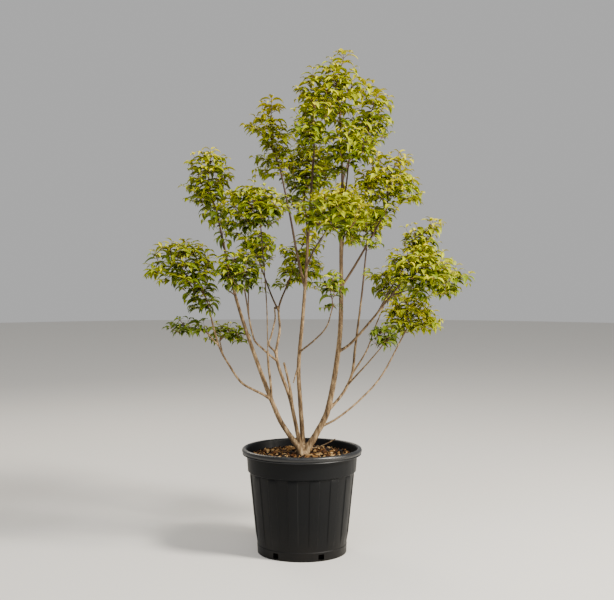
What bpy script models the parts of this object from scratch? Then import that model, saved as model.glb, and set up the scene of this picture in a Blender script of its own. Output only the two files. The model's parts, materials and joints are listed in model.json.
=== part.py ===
"""A multi-stem leafy shrub in a black nursery pot, at its real size.

Metres, +Z up. The origin is the middle of the pot's flat underside. The front of the
plant, its fullest side, faces -Y. One object is made for each sub-part: the pot, the
potting mix, the short trunk, every stem and bough, and every spray of leaves.
"""
import math
import random
from collections import namedtuple

import bmesh
import bpy
from mathutils import Matrix, Vector
from mathutils.bvhtree import BVHTree
from mathutils.geometry import interpolate_bezier

# ---------------------------------------------------------------- driving dimensions
CLEARANCE = 0.0003            # between pieces that rest on each other
UP = Vector((0.0, 0.0, 1.0))

# pot
POT_HEIGHT = 0.438
WALL = 0.0050
FLOOR = 0.0050
RIM_RADIUS = 0.250            # outside of the rolled rim
RIM_DEPTH = 0.026
RIM_ROUND = 0.006             # bevel of the rim's corners
RIM_MOUTH_RADIUS = 0.230      # inner edge of the rim
COLLAR_TOP_RADIUS = 0.2310
COLLAR_FOOT_RADIUS = 0.2255
COLLAR_FOOT_HEIGHT = 0.342
COLLAR_STEP = 0.006           # height of the slope from the collar in to the body
BODY_TOP_RADIUS = 0.2195
BODY_FOOT_RADIUS = 0.1890
BAND_RADIUS = 0.1872          # plain band round the foot
BAND_HEIGHT = 0.036
POT_FOOT_RADIUS = 0.1858
RIBS = 15                     # broad flat ribs up the body
RIB_WIDTH = math.radians(10.0)
RIB_EDGE = math.radians(1.1)  # width of the slope on either side of a rib
RIB_RELIEF = 0.0030
RIB_LOW = 0.095               # below this a rib fades into the foot band
RIB_HIGH = COLLAR_FOOT_HEIGHT - 0.014
FIRST_RIB = math.radians(-75.9)
RIB_PITCH = 2.0 * math.pi / RIBS
# the pot's facets: where their edges lie round each rib, from its middle line
RIB_STATIONS = (-RIB_WIDTH / 2.0 - RIB_EDGE, -RIB_WIDTH / 2.0, 0.0,
                RIB_WIDTH / 2.0, RIB_WIDTH / 2.0 + RIB_EDGE, RIB_PITCH / 2.0)
RAISED_STATIONS = (1, 2, 3)
POT_STEPS = RIBS * len(RIB_STATIONS)
NOTCHES = 6                   # drain notches in the foot band
NOTCH_WIDTH = 0.024
NOTCH_LOW = 0.008
NOTCH_HIGH = 0.031
FIRST_NOTCH = math.radians(-64.5)

# potting mix
SOIL_LEVEL = 0.409
SOIL_EDGE_DROP = 0.008
SOIL_SLOPE_RADIUS = 0.140     # where the fall to the wall begins
SOIL_SLOPE_DROP = 0.003
SOIL_FLAT_RADIUS = 0.060      # level patch that the trunk stands on

# trunk: height and radius of each ring, from the root flare up to the fork
TRUNK_RINGS = ((SOIL_LEVEL + CLEARANCE, 0.037), (0.417, 0.030), (0.429, 0.027),
               (0.441, 0.030), (0.451, 0.027), (0.459, 0.015))
TRUNK_SIDES = 12

# limbs
LIMB_STEP = 0.085             # between rings along a stem or bough
THICK_LIMB = 0.0125           # a limb with a thicker foot is round enough with eight sides
THICK_LIMB_SIDES = 8
THIN_LIMB_SIDES = 6
LIMB_TAPER = 0.85             # below 1, a limb thins sooner near its foot
LIMB_COLLAR = 0.15            # swelling at a limb's foot, as a share of its radius
LIMB_COLLAR_FADE = 0.025

# stems and twigs of a spray
STEM_LEAD = 0.006             # straight start of a spray's stem, in line with its limb
STEM_REACH = 0.78             # how far past the middle of its space the stem goes
STEM_TIP_RADIUS = 0.0032
TWIG_RADII = (0.0036, 0.0027)
TWIG_SPACING = 0.054          # between pairs of twigs along a stem
TWIG_STAGGER = 0.0085         # along the stem, between the two twigs of a pair
TWIG_ANGLE = math.radians(56.0)
LONGEST_TWIG = 0.150
SHORTEST_TWIG = 0.030
BENT_TWIG = 0.080             # a longer twig has a bend in it

# leaves
LEAVES = 404                  # shared out among the sprays by their size
LEAF_LENGTH = 0.128
LEAF_WIDTH = 0.066
LEAF_WIDEST = 0.40            # from its root, as a share of its length
LEAF_THICKNESS = 0.0024       # at the widest place, thinning to every edge
LEAF_DIP = 0.03               # how far the tip hangs, as a share of the length
LEAF_SUNK = 0.0012            # how far past the twig's middle line a leaf's root lies
LEAF_SPACING = 0.036          # between pairs of leaves along a twig
LEAF_STAGGER = 0.006          # along the twig, between the two leaves of a pair
BARE_STEM = 0.050             # leafless foot of a stem
BARE_TWIG = 0.035
TIP_INSET = 0.004             # the last leaf's root, from the twig's end
LEAF_TRIES = 24               # turns tried before a leaf is skipped
LEAF_GAP = 0.0015             # a leaf's least distance from any limb or wall
TIP_EASE = 1.16               # leaf tips may pass the egg by this much
FULL_LEAF_SPACE = 0.130       # mean reach of a spray that has full-size leaves
SMALLEST_LEAF = 0.65          # as a share of the full size

# A limb starts on its parent's middle line at the fork height and runs along a smooth
# course to its tip. Diameters are in metres, at its foot and at its tip.
Limb = namedtuple("Limb", "name parent fork_height diameters course")
LIMBS = (
    Limb("right_stem", "trunk", 0.428, (0.028, 0.008), (
        (0.022, 0.000, 0.455), (0.051, 0.004, 0.485), (0.107, 0.010, 0.590), (0.154, 0.010, 0.865),
        (0.163, 0.010, 1.050), (0.162, 0.000, 1.300), (0.167, 0.000, 1.550), (0.157, 0.010, 1.810))),
    Limb("left_stem", "trunk", 0.430, (0.023, 0.008), (
        (-0.055, -0.010, 0.490), (-0.097, -0.020, 0.565), (-0.184, -0.030, 0.795),
        (-0.266, -0.020, 1.040), (-0.315, 0.010, 1.240), (-0.353, 0.040, 1.410))),
    Limb("centre_stem", "trunk", 0.432, (0.021, 0.008), (
        (0.003, 0.014, 0.462), (-0.007, 0.020, 0.620), (-0.014, 0.020, 0.770), (0.002, 0.010, 0.965),
        (0.014, -0.010, 1.120), (0.025, -0.040, 1.300), (0.049, -0.100, 1.655))),
    Limb("inner_left_stem", "trunk", 0.435, (0.019, 0.007), (
        (-0.010, -0.015, 0.462), (-0.028, -0.018, 0.548), (-0.051, -0.020, 0.650),
        (-0.105, -0.020, 0.815), (-0.093, 0.040, 0.925), (-0.098, 0.120, 1.015), (-0.065, 0.200, 1.105))),
    Limb("far_left_bough", "left_stem", 0.640, (0.011, 0.006), (
        (-0.201, -0.050, 0.684), (-0.282, -0.080, 0.762), (-0.352, -0.120, 0.892), (-0.379, -0.150, 1.048))),
    Limb("low_left_bough", "far_left_bough", 0.870, (0.006, 0.005), (
        (-0.376, -0.170, 0.925),)),
    Limb("low_inner_bough", "far_left_bough", 0.835, (0.006, 0.005), (
        (-0.337, -0.040, 0.881),)),
    Limb("left_front_bough", "left_stem", 0.656, (0.009, 0.006), (
        (-0.143, -0.080, 0.811), (-0.142, -0.140, 1.048), (-0.162, -0.200, 1.345))),
    Limb("left_side_bough", "inner_left_stem", 0.800, (0.009, 0.006), (
        (-0.159, -0.070, 0.855), (-0.195, -0.100, 0.899), (-0.225, -0.220, 1.096))),
    Limb("left_back_bough", "inner_left_stem", 1.000, (0.008, 0.006), (
        (-0.129, 0.150, 1.060), (-0.174, 0.240, 1.170))),
    Limb("high_left_bough", "centre_stem", 1.103, (0.012, 0.007), (
        (-0.021, 0.030, 1.247), (-0.051, 0.070, 1.409), (-0.084, 0.110, 1.561))),
    Limb("centre_back_bough", "centre_stem", 1.220, (0.009, 0.006), (
        (0.021, 0.090, 1.334), (0.012, 0.180, 1.455))),
    Limb("centre_front_bough", "centre_stem", 1.190, (0.009, 0.006), (
        (0.049, -0.120, 1.261), (0.084, -0.240, 1.318))),
    Limb("low_centre_bough", "centre_stem", 0.834, (0.008, 0.005), (
        (0.054, -0.080, 0.895), (0.100, -0.220, 0.961), (0.119, -0.300, 1.033))),
    Limb("top_right_bough", "right_stem", 1.548, (0.010, 0.007), (
        (0.200, 0.060, 1.633), (0.261, 0.120, 1.700))),
    Limb("high_right_bough", "right_stem", 1.430, (0.008, 0.006), (
        (0.179, -0.080, 1.512), (0.185, -0.140, 1.582))),
    Limb("right_bough", "right_stem", 1.106, (0.011, 0.007), (
        (0.218, -0.010, 1.194), (0.291, -0.050, 1.325), (0.335, -0.070, 1.407))),
    Limb("centre_far_bough", "right_stem", 1.180, (0.010, 0.006), (
        (0.174, 0.160, 1.283), (0.188, 0.310, 1.356))),
    Limb("right_side_bough", "right_stem", 0.835, (0.012, 0.007), (
        (0.199, -0.010, 0.870), (0.280, -0.040, 0.964), (0.344, -0.070, 1.048), (0.403, -0.100, 1.127))),
    Limb("far_right_top_bough", "right_side_bough", 1.005, (0.007, 0.005), (
        (0.388, 0.030, 1.130), (0.459, 0.090, 1.225))),
    Limb("far_right_bough", "right_side_bough", 1.075, (0.006, 0.005), (
        (0.468, 0.000, 1.102), (0.551, 0.040, 1.117))),
    Limb("right_back_stem", "right_stem", 0.585, (0.013, 0.007), (
        (0.173, 0.030, 0.663), (0.210, 0.050, 0.740), (0.223, 0.080, 0.837), (0.254, 0.150, 1.061),
        (0.275, 0.200, 1.248))),
    Limb("right_back_bough", "right_back_stem", 0.735, (0.008, 0.005), (
        (0.277, 0.160, 0.829), (0.321, 0.250, 0.930), (0.355, 0.300, 1.001))),
    Limb("lower_right_bough", "right_back_stem", 0.695, (0.008, 0.005), (
        (0.263, -0.060, 0.788), (0.314, -0.170, 0.865))),
    Limb("low_right_bough", "right_stem", 0.520, (0.0095, 0.006), (
        (0.145, 0.030, 0.553), (0.240, 0.070, 0.623), (0.335, 0.120, 0.719), (0.437, 0.170, 0.897))),
    Limb("broken_stub", "inner_left_stem", 0.585, (0.012, 0.008), (
        (-0.055, -0.045, 0.710), (-0.073, -0.060, 0.794))),
    Limb("low_shoot", "trunk", 0.426, (0.005, 0.003), (
        (0.083, -0.012, 0.448), (0.139, -0.020, 0.476))),
)

# A spray of leaves keeps to an egg-shaped space and grows on from the tip of its limb.
Spray = namedtuple("Spray", "name limb centre reach")
SPRAYS = (
    Spray("top_spray", "right_stem", (0.14, 0.02, 1.94), (0.175, 0.16, 0.170)),
    Spray("top_right_spray", "top_right_bough", (0.28, 0.15, 1.81), (0.115, 0.13, 0.140)),
    Spray("top_left_spray", "centre_stem", (0.04, -0.12, 1.77), (0.115, 0.13, 0.130)),
    Spray("high_left_spray", "high_left_bough", (-0.13, 0.14, 1.73), (0.120, 0.13, 0.180)),
    Spray("high_right_spray", "high_right_bough", (0.19, -0.19, 1.67), (0.125, 0.12, 0.110)),
    Spray("upper_left_spray", "left_stem", (-0.39, 0.06, 1.52), (0.125, 0.13, 0.175)),
    Spray("right_spray", "right_bough", (0.35, -0.10, 1.54), (0.135, 0.14, 0.135)),
    Spray("centre_back_spray", "centre_back_bough", (0.02, 0.24, 1.59), (0.130, 0.14, 0.130)),
    Spray("centre_far_spray", "centre_far_bough", (0.19, 0.42, 1.45), (0.125, 0.12, 0.110)),
    Spray("left_front_spray", "left_front_bough", (-0.18, -0.24, 1.44), (0.155, 0.15, 0.105)),
    Spray("centre_front_spray", "centre_front_bough", (0.12, -0.34, 1.41), (0.160, 0.15, 0.115)),
    Spray("right_back_spray", "right_back_stem", (0.28, 0.24, 1.36), (0.125, 0.14, 0.120)),
    Spray("left_back_spray", "left_back_bough", (-0.20, 0.30, 1.27), (0.120, 0.14, 0.120)),
    Spray("centre_low_spray", "inner_left_stem", (-0.01, 0.28, 1.25), (0.120, 0.14, 0.150)),
    Spray("far_right_top_spray", "far_right_top_bough", (0.48, 0.11, 1.30), (0.125, 0.12, 0.100)),
    Spray("left_side_spray", "left_side_bough", (-0.25, -0.27, 1.18), (0.100, 0.13, 0.085)),
    Spray("right_side_spray", "right_side_bough", (0.49, -0.12, 1.19), (0.145, 0.14, 0.110)),
    Spray("far_left_spray", "far_left_bough", (-0.48, -0.16, 1.19), (0.180, 0.15, 0.135)),
    Spray("far_right_spray", "far_right_bough", (0.63, 0.06, 1.14), (0.110, 0.12, 0.095)),
    Spray("low_centre_spray", "low_centre_bough", (0.11, -0.32, 1.13), (0.070, 0.10, 0.105)),
    Spray("right_inner_spray", "right_back_bough", (0.38, 0.34, 1.10), (0.100, 0.13, 0.120)),
    Spray("low_right_spray", "low_right_bough", (0.47, 0.20, 0.99), (0.135, 0.13, 0.110)),
    Spray("low_left_spray", "low_left_bough", (-0.46, -0.20, 0.96), (0.110, 0.10, 0.055)),
    Spray("lower_right_spray", "lower_right_bough", (0.33, -0.22, 0.93), (0.085, 0.11, 0.080)),
    Spray("low_inner_spray", "low_inner_bough", (-0.30, 0.03, 0.91), (0.095, 0.11, 0.065)),
)


# ---------------------------------------------------------------- helpers
def clear_scene():
    for thing in list(bpy.data.objects):
        bpy.data.objects.remove(thing)


def new_collection(name):
    group = bpy.data.collections.new(name)
    bpy.context.scene.collection.children.link(group)
    return group


def finish(name, colour, roughness, metallic=0.0):
    """A Principled material with plain values."""
    material = bpy.data.materials.new(name)
    material.use_nodes = True
    shader = material.node_tree.nodes["Principled BSDF"]
    shader.inputs["Base Color"].default_value = (*colour, 1.0)
    shader.inputs["Roughness"].default_value = roughness
    shader.inputs["Metallic"].default_value = metallic
    return material


def mesh_object(name, mesh, group, material=None):
    thing = bpy.data.objects.new(name, mesh)
    if material:
        mesh.materials.clear()
        mesh.materials.append(material)
    group.objects.link(thing)
    return thing


def evaluated_mesh(thing):
    """The object's shape with its modifiers done, as a mesh of its own."""
    bpy.context.view_layer.update()
    graph = bpy.context.evaluated_depsgraph_get()
    return bpy.data.meshes.new_from_object(thing.evaluated_get(graph))


def tidy_mesh(mesh, merge=0.000001):
    """Weld the caps and turn every face outwards."""
    shape = bmesh.new()
    shape.from_mesh(mesh)
    bmesh.ops.remove_doubles(shape, verts=shape.verts, dist=merge)
    bmesh.ops.recalc_face_normals(shape, faces=shape.faces)
    shape.to_mesh(mesh)
    shape.free()


def curve_to_mesh(name, curve, group, material=None):
    """Turn a curve into a welded mesh object and drop the curve."""
    guide = bpy.data.objects.new(name + "_line", curve)
    group.objects.link(guide)
    mesh = evaluated_mesh(guide)
    placing = guide.matrix_world.copy()
    bpy.data.objects.remove(guide)
    tidy_mesh(mesh)
    thing = mesh_object(name, mesh, group, material)
    thing.matrix_world = placing
    return thing


def add_spline(curve, line, radii):
    spline = curve.splines.new("POLY")
    spline.points.add(len(line) - 1)
    for knot, place, radius in zip(spline.points, line, radii):
        knot.co = (*place, 1.0)
        knot.radius = radius


def round_tube(name, line, radii, sides, group, material=None):
    """A tapering round limb along a line."""
    curve = bpy.data.curves.new(name, "CURVE")
    curve.dimensions = "3D"
    curve.bevel_depth = 1.0
    curve.bevel_resolution = (sides - 4) // 2
    curve.use_fill_caps = True
    add_spline(curve, line, radii)
    return curve_to_mesh(name, curve, group, material)


def flowing_line(stations, step):
    """Points about a step apart on a smooth curve through the stations."""
    last = len(stations) - 1
    headings = []
    for i in range(last + 1):
        headings.append((stations[min(i + 1, last)] - stations[max(i - 1, 0)]).normalized())
    line = [stations[0]]
    for i in range(last):
        start, end = stations[i], stations[i + 1]
        pull = (end - start).length / 3.0
        count = max(1, round((end - start).length / step)) + 1
        line += interpolate_bezier(start, start + headings[i] * pull,
                                   end - headings[i + 1] * pull, end, count)[1:]
    return line


def running_lengths(line):
    lengths = [0.0]
    for start, end in zip(line, line[1:]):
        lengths.append(lengths[-1] + (end - start).length)
    return lengths


def along(line, distance):
    """The point and the heading at a distance along a line."""
    lengths = running_lengths(line)
    for i in range(len(line) - 1):
        if distance <= lengths[i + 1] or i == len(line) - 2:
            span = lengths[i + 1] - lengths[i]
            place = line[i].lerp(line[i + 1], (distance - lengths[i]) / span)
            return place, (line[i + 1] - line[i]).normalized()


def boolean(thing, operation, solver="EXACT", cutter=None, group=None):
    modifier = thing.modifiers.new(operation.lower(), "BOOLEAN")
    modifier.operation = operation
    modifier.solver = solver
    if group:
        modifier.operand_type = "COLLECTION"
        modifier.collection = group
    else:
        modifier.object = cutter
    return modifier


def apply_modifiers(thing):
    mesh = evaluated_mesh(thing)
    thing.modifiers.clear()
    thing.data = mesh


def as_cutter(thing):
    thing.hide_render = True
    thing.display_type = "WIRE"
    return thing


# ---------------------------------------------------------------- pot and potting mix
def turned(name, profile, steps, group, material):
    """A profile of (radius, height), from the inside round to the outside, spun round Z."""
    mesh = bpy.data.meshes.new(name)
    corners = [(radius, 0.0, height) for radius, height in profile]
    mesh.from_pydata(corners, [(i, i + 1) for i in range(len(corners) - 1)], [])
    thing = mesh_object(name, mesh, group, material)
    spin = thing.modifiers.new("spin", "SCREW")
    spin.steps = steps
    spin.render_steps = steps
    spin.use_merge_vertices = True
    spin.merge_threshold = 0.00001
    return thing


def body_radius(height):
    """Outside radius of the tapering body, between its ribs."""
    share = (height - BAND_HEIGHT) / (COLLAR_FOOT_HEIGHT - BAND_HEIGHT)
    return BODY_FOOT_RADIUS + (BODY_TOP_RADIUS - BODY_FOOT_RADIUS) * share - RIB_RELIEF


def inner_wall():
    """Inside of the pot from its floor up to the mouth, as (radius, height)."""
    return [(POT_FOOT_RADIUS - WALL, FLOOR),
            (BODY_TOP_RADIUS - RIB_RELIEF - WALL, RIB_HIGH),
            (COLLAR_FOOT_RADIUS - WALL, COLLAR_FOOT_HEIGHT + COLLAR_STEP),
            (COLLAR_TOP_RADIUS - WALL, POT_HEIGHT - RIM_DEPTH)]


def make_pot(group, cutters):
    under_rim = POT_HEIGHT - RIM_DEPTH
    rim_roll = [(RIM_MOUTH_RADIUS, POT_HEIGHT - RIM_ROUND),
                (RIM_MOUTH_RADIUS + RIM_ROUND, POT_HEIGHT),
                (RIM_RADIUS - RIM_ROUND, POT_HEIGHT),
                (RIM_RADIUS, POT_HEIGHT - RIM_ROUND),
                (RIM_RADIUS, under_rim)]
    outside = [(COLLAR_TOP_RADIUS, under_rim),
               (COLLAR_FOOT_RADIUS, COLLAR_FOOT_HEIGHT),
               (body_radius(COLLAR_FOOT_HEIGHT - COLLAR_STEP), COLLAR_FOOT_HEIGHT - COLLAR_STEP),
               (body_radius(RIB_HIGH), RIB_HIGH),
               (body_radius(RIB_LOW), RIB_LOW),
               (BAND_RADIUS, BAND_HEIGHT),
               (POT_FOOT_RADIUS, 0.0)]
    profile = [(0.0, FLOOR)] + inner_wall() + rim_roll + outside + [(0.0, 0.0)]
    blank = turned("pot_blank", profile, POT_STEPS, cutters, None)
    mesh = evaluated_mesh(blank)
    bpy.data.objects.remove(blank)
    raise_ribs(mesh)
    tidy_mesh(mesh)
    mesh.shade_smooth()
    mesh.set_sharp_from_angle(angle=math.radians(20.0))
    pot = mesh_object("pot", mesh, group, finish("black polypropylene", (0.022, 0.023, 0.024), 0.45))
    for k in range(NOTCHES):
        boolean(pot, "DIFFERENCE", cutter=notch_cutter(k, cutters))


def raise_ribs(mesh):
    """Turn the facets' edges to the ribs' places, and push the ribs' faces outwards."""
    for vertex in mesh.vertices:
        x, y, z = vertex.co
        radius = math.hypot(x, y)
        if radius < WALL:
            continue
        step = round(math.atan2(y, x) % (2.0 * math.pi) / (2.0 * math.pi) * POT_STEPS) % POT_STEPS
        rib, station = divmod(step, len(RIB_STATIONS))
        turn = FIRST_RIB + rib * RIB_PITCH + RIB_STATIONS[station]
        on_body = RIB_LOW - CLEARANCE < z < RIB_HIGH + CLEARANCE and radius > body_radius(z) - WALL / 2.0
        if on_body and station in RAISED_STATIONS:
            radius += RIB_RELIEF
        vertex.co = (radius * math.cos(turn), radius * math.sin(turn), z)


def notch_cutter(k, cutters):
    turn = FIRST_NOTCH + k * 2.0 * math.pi / NOTCHES
    block = bmesh.new()
    bmesh.ops.create_cube(block, size=1.0)
    size = Matrix.Diagonal((WALL * 5.0, NOTCH_WIDTH, NOTCH_HIGH - NOTCH_LOW, 1.0))
    place = Matrix.Translation((BAND_RADIUS, 0.0, (NOTCH_HIGH + NOTCH_LOW) / 2.0))
    block.transform(Matrix.Rotation(turn, 4, "Z") @ place @ size)
    mesh = bpy.data.meshes.new(f"notch_cutter_{k + 1}")
    block.to_mesh(mesh)
    block.free()
    return as_cutter(mesh_object(mesh.name, mesh, cutters))


def make_potting_mix(group):
    """Moist bark mix that fills the pot, a little lower at the wall than at the trunk."""
    edge_level = SOIL_LEVEL - SOIL_EDGE_DROP
    wall = [(radius - CLEARANCE, height) for radius, height in inner_wall()]
    wall[0] = (wall[0][0], FLOOR + CLEARANCE)
    (low_radius, low_height), (high_radius, high_height) = wall[-2:]
    share = (edge_level - low_height) / (high_height - low_height)
    wall[-1] = (low_radius + (high_radius - low_radius) * share, edge_level)
    top = [(0.0, SOIL_LEVEL), (SOIL_FLAT_RADIUS, SOIL_LEVEL),
           (SOIL_SLOPE_RADIUS, SOIL_LEVEL - SOIL_SLOPE_DROP)]
    profile = top + wall[::-1] + [(0.0, FLOOR + CLEARANCE)]
    turned("potting_mix", profile, POT_STEPS // 2, group,
           finish("bark potting mix", (0.13, 0.085, 0.05), 0.95))


# ---------------------------------------------------------------- limbs
def limb_radii(line, diameters):
    """Radius at each point: a steady taper with a swollen collar at the foot."""
    lengths = running_lengths(line)
    foot, tip = diameters[0] / 2.0, diameters[1] / 2.0
    radii = []
    for length in lengths:
        taper = foot + (tip - foot) * (length / lengths[-1]) ** LIMB_TAPER
        collar = 1.0 + LIMB_COLLAR * math.exp(-length / LIMB_COLLAR_FADE)
        radii.append(taper * collar)
    return radii


def make_trunk(group, bark):
    """The short trunk with its root flare, cut flat at soil level."""
    line = [Vector((0.0, 0.0, height)) for height, radius in TRUNK_RINGS]
    radii = [radius for height, radius in TRUNK_RINGS]
    round_tube("trunk", line, radii, TRUNK_SIDES, group, bark)
    return line, radii


def foot_on_parent(line, height):
    """The point of a rising line at a height."""
    for start, end in zip(line, line[1:]):
        if start.z <= height <= end.z:
            return start.lerp(end, (height - start.z) / (end.z - start.z))
    raise ValueError(f"no point at height {height}")


def limb_sides(limb):
    return THICK_LIMB_SIDES if limb.diameters[0] > THICK_LIMB else THIN_LIMB_SIDES


def make_limbs(group, cutters, bark):
    """Every stem and bough, each cut to sit on the limb that it grows from."""
    lines = {"trunk": make_trunk(group, bark)}
    sides = {"trunk": TRUNK_SIDES}
    for limb in LIMBS:
        parent_line, parent_radii = lines[limb.parent]
        foot = foot_on_parent(parent_line, limb.fork_height)
        line = flowing_line([foot] + [Vector(place) for place in limb.course], LIMB_STEP)
        radii = limb_radii(line, limb.diameters)
        lines[limb.name] = (line, radii)
        sides[limb.name] = limb_sides(limb)
        piece = round_tube(limb.name, line, radii, sides[limb.name], group, bark)
        piece.data.shade_smooth()
        neighbours = [limb.parent]
        if limb.parent == "trunk":
            neighbours += [other.name for other in LIMBS[:LIMBS.index(limb)] if other.parent == "trunk"]
        for neighbour in neighbours:
            boolean(piece, "DIFFERENCE", cutter=limb_cutter(neighbour, lines, sides, cutters))
        apply_modifiers(piece)
        keep_largest_piece(piece.data)
    return lines


def limb_cutter(name, lines, sides, cutters):
    """The same limb, thicker by the clearance, to cut its neighbours with."""
    cutter_name = name + "_cutter"
    if cutter_name in bpy.data.objects:
        return bpy.data.objects[cutter_name]
    line, radii = lines[name]
    fatter = [radius + CLEARANCE / math.cos(math.pi / sides[name]) for radius in radii]
    first = line[0] - (line[1] - line[0]).normalized() * CLEARANCE
    last = line[-1] + (line[-1] - line[-2]).normalized() * CLEARANCE
    return as_cutter(round_tube(cutter_name, [first] + line[1:-1] + [last], fatter, sides[name], cutters))


# ---------------------------------------------------------------- sprays of leaves
class Space:
    """An egg-shaped space, walled off from the spaces of the other sprays."""

    def __init__(self, spray):
        self.centre = Vector(spray.centre)
        self.reach = Vector(spray.reach)
        self.size = sum(spray.reach) / 3.0
        self.leaf_scale = min(1.0, max(SMALLEST_LEAF, self.size / FULL_LEAF_SPACE))
        self.walls = []

    def add_wall(self, other):
        """A plane between two spaces, nearer to the smaller one."""
        apart = other.centre - self.centre
        middle = (other.centre.length_squared - self.centre.length_squared
                  - other.size ** 2 + self.size ** 2) / (2.0 * apart.length)
        self.walls.append((apart.normalized(), middle - LEAF_GAP / 2.0))

    def behind_walls(self, place):
        return all(place.dot(normal) <= limit for normal, limit in self.walls)

    def holds(self, place, ease=1.0):
        """Whether a point is inside, or within a little more than the egg where ease is over 1."""
        offset = place - self.centre
        egg = sum((offset[i] / self.reach[i]) ** 2 for i in range(3))
        return egg <= ease ** 2 and self.behind_walls(place)

    def way_out(self, start, heading, step=0.004):
        """How far one can go from a point before leaving the space."""
        distance = 0.0
        while distance < 1.0 and self.holds(start + heading * (distance + step)):
            distance += step
        return distance


def leaf_corners(root, heading, face_way, scale):
    """Six corners of a leaf: a sunk root, two widest points, a ridge, a keel and a long tip."""
    side = heading.cross(face_way).normalized()
    over = side.cross(heading).normalized()
    length, half_width = LEAF_LENGTH * scale, LEAF_WIDTH * scale / 2.0
    base = root - heading * LEAF_SUNK
    widest = base + heading * length * LEAF_WIDEST
    return [base,
            widest + side * half_width,
            widest - side * half_width,
            widest + over * LEAF_THICKNESS / 2.0,
            widest - over * LEAF_THICKNESS / 2.0,
            base + heading * length - over * length * LEAF_DIP]


def hull(corners):
    shape = bmesh.new()
    for corner in corners:
        shape.verts.new(corner)
    bmesh.ops.convex_hull(shape, input=shape.verts)
    return shape


def spray_lines(space, foot, heading, rng):
    """The stem of a spray and its twigs, as lines that stay in the space."""
    inward = (space.centre - foot).normalized()
    lean = (inward * 0.75 + UP * 0.35).normalized()
    # the stem aims past the middle of the space, to just inside its far side
    middle = space.centre
    end = middle + lean * space.way_out(middle, lean) * STEM_REACH
    start = foot + heading * STEM_LEAD
    span = (end - start).length
    stem = [foot] + interpolate_bezier(start, start + heading * span * 0.35, end - lean * span * 0.3, end, 4)
    length = running_lengths(stem)[-1]
    twigs = []
    pairs = max(2, round(length / TWIG_SPACING))
    quarter = rng.uniform(0.0, math.pi)
    for i in range(1, pairs):
        for side in (0.0, 1.0):
            root, way = along(stem, length * i / pairs + side * TWIG_STAGGER)
            across = way.orthogonal().normalized()
            turn = quarter + math.pi * (side + i / 2.0) + rng.uniform(-0.3, 0.3)
            out = Matrix.Rotation(turn, 3, way) @ across
            twig_way = (way * math.cos(TWIG_ANGLE) + out * math.sin(TWIG_ANGLE)).normalized()
            room = space.way_out(root, twig_way) - LEAF_LENGTH * 0.45  # the last leaf needs the rest
            reach = min(room, LONGEST_TWIG * rng.uniform(0.8, 1.0))
            if reach > BENT_TWIG:
                bend = root + twig_way * reach * 0.5
                twigs.append([root, bend, bend + (twig_way + UP * 0.25).normalized() * reach * 0.5])
            elif reach > SHORTEST_TWIG:
                twigs.append([root, root + twig_way * reach])
    return stem, twigs


def leaf_seats(line, first):
    """Where leaves sit on a line: a pair at each joint, and one at the tip."""
    length = running_lengths(line)[-1]
    pairs = max(1, round((length - first) / LEAF_SPACING))
    seats = []
    for i in range(pairs):
        distance = first + (length - first) * i / pairs
        seats += [(*along(line, distance + side * LEAF_STAGGER / 2.0), side) for side in (1.0, -1.0)]
    seats.append((*along(line, length - TIP_INSET), 0.0))
    return seats


def leaf_heading(way, side, droop, rng):
    """A leaf's heading: out to one side of its twig and down, or on past the twig's tip."""
    if side == 0.0:
        stray = Vector((rng.uniform(-0.3, 0.3), rng.uniform(-0.3, 0.3), rng.uniform(-0.3, 0.1)))
        return (way + stray).normalized()
    level = way.cross(UP)
    if level.length < 0.2:
        level = way.orthogonal()
    level = Matrix.Rotation(rng.uniform(-0.5, 0.5), 3, way) @ level.normalized()
    return (level * side + way * rng.uniform(0.0, 0.8) - UP * droop).normalized()


def leaves_on(lines, space, count, limb_tree, rng):
    """Leaves that fit: inside the space, clear of every limb, twig and other leaf."""
    seats = []
    for own, line in enumerate(lines):
        seats += [(own, *seat) for seat in leaf_seats(line, BARE_TWIG if own else BARE_STEM)]
    rng.shuffle(seats)
    twig_trees = [line_tree(line) for line in lines]
    placed = []
    for own, root, way, side in seats:
        if len(placed) == count:
            break
        others = [limb_tree] + [twig for k, twig in enumerate(twig_trees) if k != own]
        others += [tree for tree, shape in placed]
        for attempt in range(LEAF_TRIES):
            outward = (root - space.centre).normalized()
            face_way = outward + UP * rng.uniform(0.1, 0.7) + way * rng.uniform(-0.4, 0.4)
            # leaves low in the space hang down, and those near its top stand out or up
            droop = rng.uniform(0.2, 1.2) - 0.7 * (root.z - space.centre.z) / space.reach.z
            heading = leaf_heading(way, side, droop, rng)
            corners = leaf_corners(root, heading, face_way, space.leaf_scale)
            if not all(space.holds(corner, TIP_EASE) for corner in corners[1:]):
                continue
            leaf = hull(corners)
            tree = BVHTree.FromBMesh(leaf)
            if any(tree.overlap(other) for other in others):
                leaf.free()
            else:
                placed.append((tree, leaf))
                break
    return [leaf for tree, leaf in placed]


def line_tree(line):
    """A search tree of a thin three-sided prism round a line, for the clearance test."""
    corners, faces = [], []
    for i, place in enumerate(line):
        way = (line[min(i + 1, len(line) - 1)] - line[max(i - 1, 0)]).normalized()
        across = way.orthogonal().normalized()
        for k in range(3):
            spoke = Matrix.Rotation(math.radians(120.0 * k), 3, way) @ across
            corners.append(place + spoke * (TWIG_RADII[0] + 0.001))
    for i in range(len(line) - 1):
        for k in range(3):
            a, b = 3 * i + k, 3 * i + (k + 1) % 3
            faces.append((a, b, b + 3, a + 3))
    return BVHTree.FromPolygons(corners, faces)


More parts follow.
